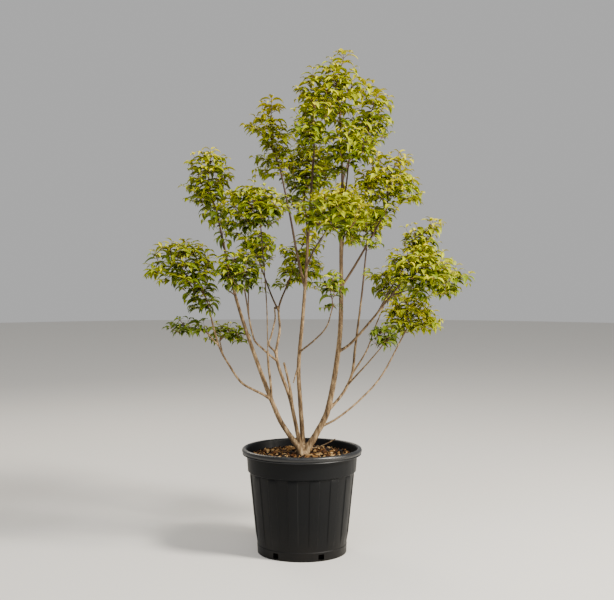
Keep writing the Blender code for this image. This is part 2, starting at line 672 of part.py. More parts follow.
def three_sided(name, lines, radii, section, group, material):
    """Thin three-sided twigs along some lines, in one object."""
    curve = bpy.data.curves.new(name, "CURVE")
    curve.dimensions = "3D"
    curve.twist_mode = "Z_UP"
    curve.bevel_mode = "OBJECT"
    curve.bevel_object = section
    curve.use_fill_caps = True
    for line in lines:
        lengths = running_lengths(line)
        taper = [radii[0] + (radii[1] - radii[0]) * length / lengths[-1] for length in lengths]
        add_spline(curve, line, taper)
    return curve_to_mesh(name, curve, group, material)


def joined_leaves(name, leaves, group, material):
    mesh = bpy.data.meshes.new(name)
    together = bmesh.new()
    for leaf in leaves:
        piece = bpy.data.meshes.new("leaf")
        leaf.to_mesh(piece)
        leaf.free()
        together.from_mesh(piece)
        bpy.data.meshes.remove(piece)
    bmesh.ops.recalc_face_normals(together, faces=together.faces)
    together.to_mesh(mesh)
    together.free()
    return mesh_object(name, mesh, group, material)


def keep_largest_piece(mesh):
    """Drop loose scraps that a union leaves."""
    shape = bmesh.new()
    shape.from_mesh(mesh)
    unseen = set(shape.verts)
    pieces = []
    while unseen:
        piece, edge = set(), [unseen.pop()]
        while edge:
            vertex = edge.pop()
            piece.add(vertex)
            near = {link.other_vert(vertex) for link in vertex.link_edges} & unseen
            unseen -= near
            edge += near
        pieces.append(piece)
    largest = max(pieces, key=len)
    scraps = [vertex for vertex in shape.verts if vertex not in largest]
    bmesh.ops.delete(shape, geom=scraps, context="VERTS")
    shape.to_mesh(mesh)
    shape.free()


def all_limbs_tree(lines):
    """A search tree of all limbs, thicker by the leaf gap."""
    corners, faces = [], []
    for line, radii in lines.values():
        base = len(corners)
        for i, (place, radius) in enumerate(zip(line, radii)):
            way = (line[min(i + 1, len(line) - 1)] - line[max(i - 1, 0)]).normalized()
            across = way.orthogonal().normalized()
            for k in range(6):
                spoke = Matrix.Rotation(math.radians(60.0 * k), 3, way) @ across
                corners.append(place + spoke * (radius * 1.155 + LEAF_GAP))
        for i in range(len(line) - 1):
            for k in range(6):
                a, b = base + 6 * i + k, base + 6 * i + (k + 1) % 6
                faces.append((a, b, b + 6, a + 6))
    return BVHTree.FromPolygons(corners, faces)


def make_spray(spray, space, count, limb_lines, limb_tree, section, group, greens):
    rng = random.Random(spray.name)
    line, radii = limb_lines[spray.limb]
    heading = (line[-1] - line[-2]).normalized()
    foot = line[-1] + heading * CLEARANCE
    stem_line, twig_lines = spray_lines(space, foot, heading, rng)
    twig_lines = [twig for twig in twig_lines if not line_tree(twig).overlap(limb_tree)]
    leaves = leaves_on([stem_line] + twig_lines, space, count, limb_tree, rng)
    material = rng.choice(greens)
    bits = new_collection(spray.name + "_bits")
    # a three-sided stem needs a wider circle to look as thick as its round limb
    stem_radii = (max(radii[-1] * 1.2, STEM_TIP_RADIUS * 1.1), STEM_TIP_RADIUS)
    stem = three_sided(spray.name, [stem_line], stem_radii, section, group, material)
    three_sided(spray.name + "_twigs", twig_lines, TWIG_RADII, section, bits, material)
    joined_leaves(spray.name + "_leaves", leaves, bits, material)
    # EXACT leaves open edges where many thin leaves meet one twig
    boolean(stem, "UNION", solver="MANIFOLD", group=bits)
    apply_modifiers(stem)
    for bit in list(bits.objects):
        bpy.data.objects.remove(bit)
    bpy.data.collections.remove(bits)
    keep_largest_piece(stem.data)


def make_sprays(limb_lines, group, cutters):
    spaces = {spray.name: Space(spray) for spray in SPRAYS}
    for name, space in spaces.items():
        for other_name, other in spaces.items():
            if other_name != name:
                space.add_wall(other)
    triangle = bpy.data.curves.new("twig_section", "CURVE")
    corner_turns = [math.radians(120.0 * k - 90.0) for k in range(3)]  # one edge faces up
    add_spline(triangle, [Vector((math.cos(t), math.sin(t), 0.0)) for t in corner_turns], (1.0,) * 3)
    triangle.splines[0].use_cyclic_u = True
    section = as_cutter(bpy.data.objects.new("twig_section", triangle))
    cutters.objects.link(section)
    greens = [finish("leaf green " + word, colour, 0.5)
              for word, colour in (("deep", (0.10, 0.16, 0.015)), ("fresh", (0.24, 0.27, 0.03)),
                                   ("yellow", (0.34, 0.30, 0.05)))]
    limb_tree = all_limbs_tree(limb_lines)
    shares = {spray.name: spray.reach[0] * spray.reach[2] for spray in SPRAYS}
    whole = sum(shares.values())
    for spray in SPRAYS:
        count = round(LEAVES * shares[spray.name] / whole)
        make_spray(spray, spaces[spray.name], count, limb_lines, limb_tree, section, group, greens)
    bpy.data.objects.remove(section)


# ---------------------------------------------------------------- the whole plant
def main():
    clear_scene()
    plant = new_collection("potted_shrub")
    cutters = new_collection("cutters")
    bark = finish("smooth tan bark", (0.36, 0.26, 0.16), 0.8)
    make_pot(plant, cutters)
    make_potting_mix(plant)
    limb_lines = make_limbs(plant, cutters, bark)
    make_sprays(limb_lines, plant, cutters)


main()
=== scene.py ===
# %% [markdown]
# # A leafy shrub in a nursery pot
#
# This lesson dresses a garden shrub about two metres tall. Its construction model has the
# right sizes and places, but plain surfaces and large, few leaves. We keep every size and
# give each part the shape and finish of the real one: moulded plastic, damp bark chips,
# thin tan bark, red-brown twigs and thousands of small arching leaves.
#
# The imported model is the frame that everything is placed against.

# %% Load the frame
import json
import math
import random
from collections import namedtuple

import bmesh
import bpy
import numpy as np
from mathutils import Matrix, Vector, kdtree, noise
from mathutils.geometry import interpolate_bezier

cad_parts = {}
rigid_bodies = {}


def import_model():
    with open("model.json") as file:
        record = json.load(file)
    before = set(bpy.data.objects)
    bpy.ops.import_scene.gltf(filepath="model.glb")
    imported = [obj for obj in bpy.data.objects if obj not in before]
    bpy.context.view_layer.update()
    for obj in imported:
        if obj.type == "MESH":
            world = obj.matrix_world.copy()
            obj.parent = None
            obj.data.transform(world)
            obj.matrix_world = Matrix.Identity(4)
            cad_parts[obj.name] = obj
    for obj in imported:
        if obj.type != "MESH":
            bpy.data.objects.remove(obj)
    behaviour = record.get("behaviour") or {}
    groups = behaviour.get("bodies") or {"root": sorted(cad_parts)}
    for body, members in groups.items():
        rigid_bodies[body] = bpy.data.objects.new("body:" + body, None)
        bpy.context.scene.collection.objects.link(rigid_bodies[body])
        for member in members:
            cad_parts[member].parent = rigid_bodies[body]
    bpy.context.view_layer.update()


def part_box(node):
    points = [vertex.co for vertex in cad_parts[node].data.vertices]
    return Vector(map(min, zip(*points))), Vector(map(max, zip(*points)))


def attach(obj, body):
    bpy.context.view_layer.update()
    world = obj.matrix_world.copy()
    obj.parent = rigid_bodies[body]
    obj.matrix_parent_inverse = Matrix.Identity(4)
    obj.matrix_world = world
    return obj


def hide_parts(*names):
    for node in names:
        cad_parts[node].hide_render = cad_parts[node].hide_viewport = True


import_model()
UP = Vector((0.0, 0.0, 1.0))


# %% [markdown]
# ## The camera
#
# The plant is seen from the front, from about head height and a little over five metres
# away, through a long lens, so its stems hardly converge. The camera tips down by about
# three degrees. We add it first, because it decides how fine each detail has to be.

# %% Camera
CAMERA_PLACE = (0.021, -5.100, 1.327)
CAMERA_DOWN = math.radians(3.08)
LENS_MM = 72.26
SENSOR_MM = 36.0

bpy.ops.object.camera_add(location=CAMERA_PLACE, rotation=(math.pi / 2.0 - CAMERA_DOWN, 0.0, 0.0))
camera = bpy.context.object
camera.data.lens = LENS_MM
camera.data.sensor_width = SENSOR_MM
bpy.context.scene.camera = camera
print("camera at", CAMERA_PLACE, "with a", LENS_MM, "mm lens")

# %% [markdown]
# ## Colours and nodes
#
# Colours are written as they look on a screen, as sRGB hex, and one function turns them to
# the linear values that the shaders work in. One small function adds a node with its
# settings and its links. Pattern sizes are given in millimetres and turned to the scale
# that a texture node wants, which counts features per metre.

# %% Helpers for colours and nodes
FIRST_COLOUR, SECOND_COLOUR, MIXED_COLOUR = 6, 7, 2  # a Mix node's sockets for colours


def hex_colour(text):
    """An sRGB hex colour as linear RGBA."""
    channels = [int(text[i:i + 2], 16) / 255.0 for i in (1, 3, 5)]
    linear = [c / 12.92 if c <= 0.04045 else ((c + 0.055) / 1.055) ** 2.4 for c in channels]
    return (*linear, 1.0)


def per_metre(size_mm):
    """The texture scale that gives features of this size."""
    return 1000.0 / size_mm


def add_node(tree, kind, inputs=None, **settings):
    """A node whose inputs are set to values, or linked where the value is a socket."""
    node = tree.nodes.new(kind)
    for name, value in settings.items():
        setattr(node, name, value)
    for socket, value in (inputs or {}).items():
        if isinstance(value, bpy.types.NodeSocket):
            tree.links.new(value, node.inputs[socket])
        else:
            node.inputs[socket].default_value = value
    return node


def new_finish(name, **constants):
    """A Principled material; constants are set on the shader's own sockets."""
    material = bpy.data.materials.new(name)
    material.use_nodes = True
    tree = material.node_tree
    shader = tree.nodes["Principled BSDF"]
    for socket, value in constants.items():
        shader.inputs[socket.replace("_", " ")].default_value = value
    return material, tree, shader


print("a mid grey is", [round(c, 3) for c in hex_colour("#808080")])

# %% [markdown]
# ## Light and floor
#
# The light is a soft studio light: one large key from the upper right, a low side light
# that reaches the stems under the leaves, a weak fill from above the camera, and a pale
# world that lifts the shadows. A shrub is a mass of small surfaces, so the key stays
# clearly stronger than the rest, or the leaves run together. The floor is a plain pale
# sheet and isn't part of the plant.

# %% Lights, world and floor
AIM = Vector((0.0, 0.0, 1.05))
LIGHTS = (("key_light", (3.7, -2.2, 4.6), 1.2, 700.0, "#fffaf0"),
          ("side_light", (4.2, -1.7, 1.5), 0.9, 120.0, "#fff6e8"),
          ("fill_light", (-0.8, -3.4, 4.8), 2.2, 90.0, "#eef3ff"),
          ("back_light", (-2.0, 3.4, 3.6), 2.0, 90.0, "#fff4e2"))
WORLD_STRENGTH = 0.58
FLOOR_RADIUS = 14.0

for name, place, size, watts, colour in LIGHTS:
    bpy.ops.object.light_add(type="AREA", location=place)
    light = bpy.context.object
    light.name = name
    light.rotation_euler = (AIM - Vector(place)).to_track_quat("-Z", "Y").to_euler()
    light.data.size = size
    light.data.energy = watts
    light.data.color = hex_colour(colour)[:3]

world = bpy.data.worlds.new("pale_studio")
world.use_nodes = True
background = world.node_tree.nodes["Background"]
background.inputs["Color"].default_value = hex_colour("#ececec")
background.inputs["Strength"].default_value = WORLD_STRENGTH
bpy.context.scene.world = world

bpy.ops.mesh.primitive_circle_add(vertices=96, radius=FLOOR_RADIUS, fill_type="NGON")
floor = bpy.context.object
floor.name = "floor"
floor_paint = new_finish("pale_matt_floor", Roughness=0.9, Base_Color=hex_colour("#d9d6d0"))[0]
floor.data.materials.append(floor_paint)
print("lights:", [light[0] for light in LIGHTS])

# %% [markdown]
# ## Working on one piece at a time
#
# Blender's operators act on whatever is selected. These helpers leave everything alone,
# take up one piece, apply its modifiers, and at the end settle it: it rides on the plant's
# one body and stands for the plain parts that it replaces.

# %% Helpers for modelling
def leave_all():
    if bpy.context.object and bpy.context.object.mode != "OBJECT":
        bpy.ops.object.mode_set(mode="OBJECT")
    bpy.ops.object.select_all(action="DESELECT")


def take(piece):
    leave_all()
    piece.select_set(True)
    bpy.context.view_layer.objects.active = piece
    return piece


def apply_all(piece):
    take(piece)
    for modifier in list(piece.modifiers):
        bpy.ops.object.modifier_apply(modifier=modifier.name)


def mesh_piece(name, corners, faces, edges=()):
    mesh = bpy.data.meshes.new(name)
    mesh.from_pydata(corners, edges, faces)
    piece = bpy.data.objects.new(name, mesh)
    bpy.context.scene.collection.objects.link(piece)
    return piece


def triangles(piece):
    return sum(len(face.vertices) - 2 for face in piece.data.polygons)


def settle(piece, material, slot, *nodes):
    piece.data.materials.clear()
    piece.data.materials.append(material)
    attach(piece, "root")
    if nodes:
        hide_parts(*nodes)
    print(piece.name, "has", triangles(piece), "triangles")


leave_all()
print("nothing is selected")

# %% [markdown]
# ## The pot's outline
#
# The pot is a common black nursery container, injection moulded from polypropylene. Its
# wall is a turned shape: a flat foot with a plain band, a body that widens upwards, a
# smooth collar that stands a few millimetres proud of it, and a rolled rim to lift it by.
# The rim's outer face is round and tucks in to a thin lip, with a hollow under it that
# stays dark. Half of its outline, spun round the upright axis, gives all of that. The
# outline runs from the inside of the floor up the inner wall, over the rim and down the
# outside.

# %% Pot sizes
pot_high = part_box("pot")[1]
POT_HEIGHT = pot_high.z
RIM_RADIUS = pot_high.x
WALL = 0.0050
RIM_DEPTH = 0.026
RIM_MOUTH_RADIUS = 0.230
COLLAR_TOP_RADIUS = 0.2310
COLLAR_FOOT_RADIUS = 0.2255
COLLAR_FOOT_HEIGHT = 0.342
COLLAR_STEP = 0.006
BODY_TOP_RADIUS = 0.2195
BODY_FOOT_RADIUS = 0.1890
BAND_RADIUS = 0.1872
BAND_HEIGHT = 0.036
POT_FOOT_RADIUS = 0.1858
RIB_RELIEF = 0.0030
RIB_LOW = 0.095
RIB_HIGH = COLLAR_FOOT_HEIGHT - 0.014


def body_radius(height):
    """Outside radius of the tapering body, between its ribs."""
    share = (height - BAND_HEIGHT) / (COLLAR_FOOT_HEIGHT - BAND_HEIGHT)
    return BODY_FOOT_RADIUS + (BODY_TOP_RADIUS - BODY_FOOT_RADIUS) * share - RIB_RELIEF


def arc(centre, radius, first, last, steps):
    """Points of a round corner, as (radius, height); angles are in degrees from outwards."""
    turns = [math.radians(first + (last - first) * i / steps) for i in range(steps + 1)]
    return [(centre[0] + radius * math.cos(t), centre[1] + radius * math.sin(t)) for t in turns]


print("pot:", round(RIM_RADIUS * 2000.0), "mm across,", round(POT_HEIGHT * 1000.0), "mm high")

# %% Pot outline
BEAD = 0.010                  # radius of the rim's round top
SKIRT = 0.0115                # radius of the rim's outer face, which tucks in below
LIP = 0.0026                  # height of the thin lip at the rim's lower edge
LIP_REACH = 0.0026            # how far it stands out
HOLLOW = 0.0050               # height of the dark hollow behind the lip
BODY_RINGS = 30

under_rim = POT_HEIGHT - RIM_DEPTH
inside = [(0.0, WALL), (POT_FOOT_RADIUS - WALL, WALL),
          (BODY_TOP_RADIUS - RIB_RELIEF - WALL, RIB_HIGH),
          (COLLAR_FOOT_RADIUS - WALL, COLLAR_FOOT_HEIGHT + COLLAR_STEP),
          (COLLAR_TOP_RADIUS - WALL, under_rim)]
bead_middle = ((RIM_RADIUS + RIM_MOUTH_RADIUS) / 2.0, POT_HEIGHT - BEAD)
skirt_middle = (RIM_RADIUS - SKIRT, POT_HEIGHT - SKIRT)
rim = arc(bead_middle, BEAD, 180.0, 15.0, 12) + arc(skirt_middle, SKIRT, 10.0, -60.0, 9)
lip_radius = rim[-1][0]
lip_edge = lip_radius + LIP_REACH
rim += [(lip_radius + LIP_REACH * 0.5, under_rim + LIP + 0.0004), (lip_edge, under_rim + LIP),
        (lip_edge + 0.0006, under_rim + LIP * 0.5), (lip_edge, under_rim + 0.0002),
        (lip_edge - 0.0010, under_rim), (lip_radius - 0.0022, under_rim + 0.0020),
        (lip_radius - 0.0070, under_rim + HOLLOW), (COLLAR_TOP_RADIUS + 0.0030, under_rim + HOLLOW),
        (COLLAR_TOP_RADIUS, under_rim + 0.0020)]
collar = (arc((COLLAR_FOOT_RADIUS - 0.0015, COLLAR_FOOT_HEIGHT + 0.0015), 0.0015, 10.0, -60.0, 4)
          + [(body_radius(COLLAR_FOOT_HEIGHT - COLLAR_STEP), COLLAR_FOOT_HEIGHT - COLLAR_STEP)])
body = [(body_radius(z), z) for z in np.linspace(
    COLLAR_FOOT_HEIGHT - COLLAR_STEP - 0.004, BAND_HEIGHT + 0.003, BODY_RINGS)]
foot = [(BAND_RADIUS + 0.0006, BAND_HEIGHT), (BAND_RADIUS, BAND_HEIGHT - 0.002),
        (POT_FOOT_RADIUS, 0.0015), (POT_FOOT_RADIUS - 0.0015, 0.0), (0.0, 0.0)]
pot_outline = inside + rim + collar + body + foot
print("the outline has", len(pot_outline), "points")

# %% [markdown]
# ## Spinning the pot and pressing its ribs
#
# Spin turns the outline round in as many steps as the ribs need: there are fifteen broad
# ribs, and twenty four steps to each, so that a rib's edge falls on a step. The ribs are
# then pushed out of the body in code, fading into the foot band as the mould's do, which is
# steadier than extruding each of them by hand.

# %% Spin the outline
RIBS = 15
STEPS_PER_RIB = 24
FIRST_RIB = math.radians(-75.9)
RIB_WIDTH = math.radians(10.0)
WELD = 0.00002                # corners nearer than this are one


def spun(name, outline, steps, start=0.0):
    """The outline turned all the way round Z, closed and facing outwards."""
    corners = [(r * math.cos(start), r * math.sin(start), z) for r, z in outline]
    piece = mesh_piece(name, corners, [], [(i, i + 1) for i in range(len(corners) - 1)])
    take(piece)
    bpy.ops.object.mode_set(mode="EDIT")
    bpy.ops.mesh.select_all(action="SELECT")
    bpy.ops.mesh.spin(steps=steps, angle=2.0 * math.pi, center=(0.0, 0.0, 0.0), axis=UP)
    bpy.ops.mesh.select_all(action="SELECT")
    bpy.ops.mesh.remove_doubles(threshold=WELD)
    bpy.ops.mesh.normals_make_consistent(inside=False)
    leave_all()
    return piece


pot = spun("nursery_pot", pot_outline, RIBS * STEPS_PER_RIB, FIRST_RIB)
print("spun:", len(pot.data.vertices), "corners")

# %% Press the ribs
RIB_FADE_FROM = BAND_HEIGHT + 0.004


def smooth_step(value, low, high):
    """From 0 at the low value to 1 at the high one, without a kink."""
    share = np.clip((value - low) / (high - low), 0.0, 1.0)
    return share * share * (3.0 - 2.0 * share)


def corners_of(piece):
    corners = np.empty(len(piece.data.vertices) * 3)
    piece.data.vertices.foreach_get("co", corners)
    return corners.reshape(-1, 3)


def set_corners(piece, corners):
    piece.data.vertices.foreach_set("co", corners.ravel())
    piece.data.update()


corners = corners_of(pot)
radius = np.hypot(corners[:, 0], corners[:, 1])
pitch = 2.0 * math.pi / RIBS
bearing = np.arctan2(corners[:, 1], corners[:, 0])
off_rib = np.abs((bearing - FIRST_RIB + pitch / 2.0) % pitch - pitch / 2.0)
step_width = pitch / STEPS_PER_RIB
across_rib = 1.0 - smooth_step(off_rib, RIB_WIDTH / 2.0, RIB_WIDTH / 2.0 + step_width)
up_rib = smooth_step(corners[:, 2], RIB_FADE_FROM, RIB_LOW) * (
    1.0 - smooth_step(corners[:, 2], RIB_HIGH, COLLAR_FOOT_HEIGHT - COLLAR_STEP))
outer = radius > body_radius(corners[:, 2]) - WALL / 2.0
grow = np.where(outer, RIB_RELIEF * across_rib * up_rib, 0.0) / np.maximum(radius, WALL)
corners[:, :2] *= 1.0 + grow[:, None]
set_corners(pot, corners)
print("pressed", RIBS, "ribs", round(RIB_RELIEF * 1000.0, 1), "mm proud")

# %% [markdown]
# ## Drain notches
#
# Six square notches in the foot band let the water out. Each is cut with a Boolean by a
# block with rounded corners, modelled once and turned round the pot.

# %% Cut the drain notches
NOTCHES = 6
NOTCH_WIDTH = 0.026
NOTCH_LOW = 0.0056
NOTCH_HIGH = 0.029
NOTCH_ROUND = 0.004           # radius of its corners
FIRST_NOTCH = math.radians(-64.9)
POT_CREASE = math.radians(24.0)  # a sharper edge than this stays sharp

for k in range(NOTCHES):
    leave_all()
    bpy.ops.mesh.primitive_cube_add(size=1.0)
    cutter = bpy.context.object
    cutter.name = f"notch_cutter_{k + 1}"
    size = Matrix.Diagonal((WALL * 5.0, NOTCH_WIDTH, NOTCH_HIGH - NOTCH_LOW, 1.0))
    place = Matrix.Translation((BAND_RADIUS, 0.0, (NOTCH_HIGH + NOTCH_LOW) / 2.0))
    turn = Matrix.Rotation(FIRST_NOTCH + k * 2.0 * math.pi / NOTCHES, 4, "Z")
    cutter.data.transform(place @ size)
    rounding = cutter.modifiers.new("rounding", "BEVEL")
    rounding.width = NOTCH_ROUND
    rounding.segments = 3
    apply_all(cutter)
    cutter.data.transform(turn)
    cut = pot.modifiers.new(cutter.name, "BOOLEAN")
    cut.operation = "DIFFERENCE"
    cut.object = cutter
    apply_all(pot)
    bpy.data.objects.remove(cutter)

take(pot)
bpy.ops.object.shade_smooth_by_angle(angle=POT_CREASE)
print("cut", NOTCHES, "notches")

# %% [markdown]
# ## Black polypropylene
#
# The plastic is recycled polypropylene, moulded in a lightly spark-eroded steel tool: a
# charcoal black, never quite black, with a soft satin sheen. Outdoors it gathers a thin
# brownish film of dust and dried splashes, most of it on the foot. The real grain is about
# a third of a millimetre, too fine to show from here, so it is drawn at eight tenths and
# gives a softer highlight. The scuffs run up and down, from pots being pulled out of a
# stack. Hands have polished the rim, so it shines more than the dull wall below it.

# %% Pot finish
def moulded_polypropylene(name, specular, glossiest, dullest):
    """The pot's plastic, with its scuffs, its film of dust and its grain."""
    material, tree, shader = new_finish(name, IOR=1.49, Specular_IOR_Level=specular)
    place = add_node(tree, "ShaderNodeTexCoord").outputs["Object"]
    streak_space = add_node(tree, "ShaderNodeMapping", {"Vector": place, "Scale": (1.0, 1.0, 0.12)})
    scuffs = add_node(tree, "ShaderNodeTexNoise", {
        "Vector": streak_space.outputs["Vector"], "Scale": per_metre(9.0),
        "Detail": 6.0, "Roughness": 0.65}).outputs["Fac"]
    film = add_node(tree, "ShaderNodeTexNoise", {
        "Vector": place, "Scale": per_metre(60.0), "Detail": 5.0}).outputs["Fac"]
    height = add_node(tree, "ShaderNodeSeparateXYZ", {"Vector": place}).outputs["Z"]
    low_down = add_node(tree, "ShaderNodeMapRange", {
        "Value": height, "From Min": 0.0, "From Max": 0.16, "To Min": 0.40, "To Max": 0.04})
    dust = add_node(tree, "ShaderNodeMath", {0: film, 1: low_down.outputs["Result"]},
                    operation="MULTIPLY")
    plastic = add_node(tree, "ShaderNodeMix", {
        "Factor": scuffs, FIRST_COLOUR: hex_colour("#08090b"),
        SECOND_COLOUR: hex_colour("#101214")}, data_type="RGBA")
    dusty = add_node(tree, "ShaderNodeMix", {
        "Factor": dust.outputs["Value"], FIRST_COLOUR: plastic.outputs[MIXED_COLOUR],
        SECOND_COLOUR: hex_colour("#2c2620")}, data_type="RGBA")
    gloss = add_node(tree, "ShaderNodeMapRange", {
        "Value": scuffs, "From Min": 0.3, "From Max": 0.7, "To Min": glossiest, "To Max": dullest})
    grain = add_node(tree, "ShaderNodeTexNoise", {
        "Vector": place, "Scale": per_metre(0.8), "Detail": 3.0})
    relief = add_node(tree, "ShaderNodeBump", {
        "Height": grain.outputs["Fac"], "Strength": 0.08, "Distance": 0.0003})
    tree.links.new(dusty.outputs[MIXED_COLOUR], shader.inputs["Base Color"])
    tree.links.new(gloss.outputs["Result"], shader.inputs["Roughness"])
    tree.links.new(relief.outputs["Normal"], shader.inputs["Normal"])
    return material


settle(pot, moulded_polypropylene("moulded_black_polypropylene", 0.14, 0.36, 0.54), "pot", "pot")

# %% The polished rim
HANDLED = 0.004               # the polish stops this far out from the rim's mouth
EDGE_ALLOWANCE = 0.001

polished = moulded_polypropylene("hand_polished_black_polypropylene", 0.60, 0.30, 0.46)
pot.data.materials.append(polished)
for face in pot.data.polygons:
    on_rim = face.center.z > POT_HEIGHT - RIM_DEPTH - EDGE_ALLOWANCE
    if on_rim and math.hypot(face.center.x, face.center.y) > RIM_MOUTH_RADIUS + HANDLED:
        face.material_index = 1
print("the rim is", sum(face.material_index for face in pot.data.polygons), "faces")

# %% [markdown]
# ## Potting mix
#
# The pot is filled with composted bark: damp, dark crumbs with lighter chips lying on top.
# The bed is one turned solid whose top is made uneven in code. The chips are separate
# stones of bark, each a convex hull round a few random points. A dozen are made, and they
# are copied over the bed as arrays, in tints from near black to straw. That gives real
# edges that catch the light, which a bump pattern can't.

# %% The bed of potting mix
SOIL_LEVEL = 0.409
SOIL_EDGE_DROP = 0.008
SOIL_FLAT_RADIUS = 0.060      # the mix is level round the trunk, and falls from here
SLOPE_END = 0.2
BED_RINGS = 34
BED_STEPS = 120
BED_ROUGHNESS = 0.0032
BED_SINKS = 0.002             # the rough top lies this much lower than the level
LUMPS, CRUMBS = 55.0, 150.0   # lumps and crumbs to a metre
BED_GAP = 0.0006              # between the mix and the pot
BED_HOLLOW = 0.022            # how far the mix stands back behind the drain notches
HOLLOW_LOW, HOLLOW_HIGH = BAND_HEIGHT + 0.004, BAND_HEIGHT + 0.020
BED_CREASE = math.radians(50.0)


def wall_radius(height):
    """Inside radius of the collar at a height."""
    (low_radius, low), (high_radius, high) = inside[-2:]
    return low_radius + (high_radius - low_radius) * (height - low) / (high - low)


def soil_height(radius):
    """The level of the mix: flat round the trunk, falling a little to the wall."""
    fall = np.clip((radius - SOIL_FLAT_RADIUS) / (SLOPE_END - SOIL_FLAT_RADIUS), 0.0, 1.0)
    return SOIL_LEVEL - SOIL_EDGE_DROP * fall ** 1.5


edge_level = SOIL_LEVEL - SOIL_EDGE_DROP
bed_radius = wall_radius(edge_level) - BED_GAP
(floor_in, _), (rib_in, rib_top), (collar_in, collar_foot) = inside[1:4]
bed_outline = [(r, float(soil_height(r))) for r in np.linspace(0.0, bed_radius, BED_RINGS)]
bed_outline += [(collar_in - BED_GAP, collar_foot), (rib_in - BED_GAP, rib_top),
                (floor_in - BED_GAP, HOLLOW_HIGH), (floor_in - BED_HOLLOW, HOLLOW_LOW),
                (floor_in - BED_HOLLOW, WALL + BED_GAP), (0.0, WALL + BED_GAP)]
bed = spun("potting_mix_bed", bed_outline, BED_STEPS)
corners = corners_of(bed)
for corner in corners:
    if corner[2] > edge_level - 0.001 and math.hypot(corner[0], corner[1]) < bed_radius - 0.002:
        lump = noise.noise(Vector(corner) * LUMPS) + 0.6 * noise.noise(Vector(corner) * CRUMBS)
        corner[2] += BED_ROUGHNESS * lump - BED_SINKS
set_corners(bed, corners)
take(bed)
bpy.ops.object.shade_smooth_by_angle(angle=BED_CREASE)
print("bed radius", round(bed_radius * 1000.0), "mm")

# %% Bark chips
CHIP_SHAPES = 12
CHIP_POINTS = 11
CHIP_WIDTH, CHIP_THICKNESS = 0.32, 0.16  # half of each, to a length of one
CHIP_TINTS = (("dark", "#160b04", 0.42), ("brown", "#47290d", 0.26),
              ("tan", "#7c5a31", 0.20), ("straw", "#a98859", 0.12))


def chip_shape(rng):
    """A flat, angular stone about one unit long, as corners and triangles."""
    shape = bmesh.new()
    for i in range(CHIP_POINTS):
        x = rng.uniform(-0.5, 0.5)
        shape.verts.new((x, rng.uniform(-CHIP_WIDTH, CHIP_WIDTH) * (1.1 - abs(x)),
                         rng.uniform(-CHIP_THICKNESS, CHIP_THICKNESS)))
    bmesh.ops.convex_hull(shape, input=shape.verts)
    inner = [vertex for vertex in shape.verts if not vertex.link_faces]
    bmesh.ops.delete(shape, geom=inner, context="VERTS")
    bmesh.ops.triangulate(shape, faces=shape.faces)
    shape.verts.index_update()
    corners = np.array([vertex.co for vertex in shape.verts])
    faces = np.array([[vertex.index for vertex in face.verts] for face in shape.faces])
    shape.free()
    return corners, faces


rng = random.Random(41)
chip_shapes = [chip_shape(rng) for k in range(CHIP_SHAPES)]
print("chip shapes with", [len(faces) for corners, faces in chip_shapes], "triangles")

# %% Scatter the chips
CHIPS = 2900
CHIP_LENGTH, CHIP_SPREAD, LONGEST_CHIP = 0.0102, 0.60, 0.038
CHIP_TILT = 0.5               # in radians, as a spread
CHIP_LIFTS = (-0.0030, 0.0065)  # how far a chip lies under or over the level
TRUNK_CLEAR = 0.028


def joined(parts):
    """Many (corners, faces) parts as one pair of lists."""
    corners, faces, base = [], [], 0
    for part_corners, part_faces in parts:
        corners.append(np.asarray(part_corners))
        faces += (np.asarray(part_faces) + base).tolist()
        base += len(part_corners)
    return np.concatenate(corners).tolist(), faces


chip_parts = {tint: [] for tint, colour, share in CHIP_TINTS}
weights = [share for tint, colour, share in CHIP_TINTS]
for k in range(CHIPS):
    tint = rng.choices(list(chip_parts), weights)[0]
    length = min(LONGEST_CHIP, rng.lognormvariate(math.log(CHIP_LENGTH), CHIP_SPREAD))
    reach = rng.uniform((TRUNK_CLEAR / bed_radius) ** 2, 1.0) ** 0.5 * (bed_radius - length * 0.62)
    turn = rng.uniform(0.0, 2.0 * math.pi)
    lift = float(soil_height(reach)) + rng.uniform(*CHIP_LIFTS)
    tilt = (Matrix.Rotation(rng.gauss(0.0, CHIP_TILT), 4, "X")
            @ Matrix.Rotation(rng.gauss(0.0, CHIP_TILT), 4, "Y"))
    pose = (Matrix.Translation((reach * math.cos(turn), reach * math.sin(turn), lift))
            @ Matrix.Rotation(rng.uniform(0.0, 2.0 * math.pi), 4, "Z") @ tilt
            @ Matrix.Diagonal((length, length * rng.uniform(0.7, 1.3),
                               length * rng.uniform(1.0, 2.0), 1.0)))
    shape_corners, shape_faces = rng.choice(chip_shapes)
    pose = np.array(pose)
    chip_parts[tint].append((shape_corners @ pose[:3, :3].T + pose[:3, 3], shape_faces))
print("chips by tint:", {tint: len(parts) for tint, parts in chip_parts.items()})

# %% [markdown]
# ## Composted bark
#
# Damp bark is matt and soaks up light. Its fibres are half a millimetre to two
# millimetres wide and break the colour into short streaks. They are too fine to show from
# here, so the streaks are drawn at three to four millimetres. The same pattern raises the
# relief, and the streaks are darker in its hollows and lighter on its crests, which is
# painted shade and painted light. The crumbs of the bed are the same bark gone dark, and
# their near black also paints the shade in the gaps between the chips. All tints share one
# recipe, so a function makes them from a colour.

# %% Finishes of the mix
PAINTED_CRACK_SHADE, PAINTED_CREST_LIGHT = 0.45, 1.35  # painted shade in the cracks and painted light on the crests, against the tint
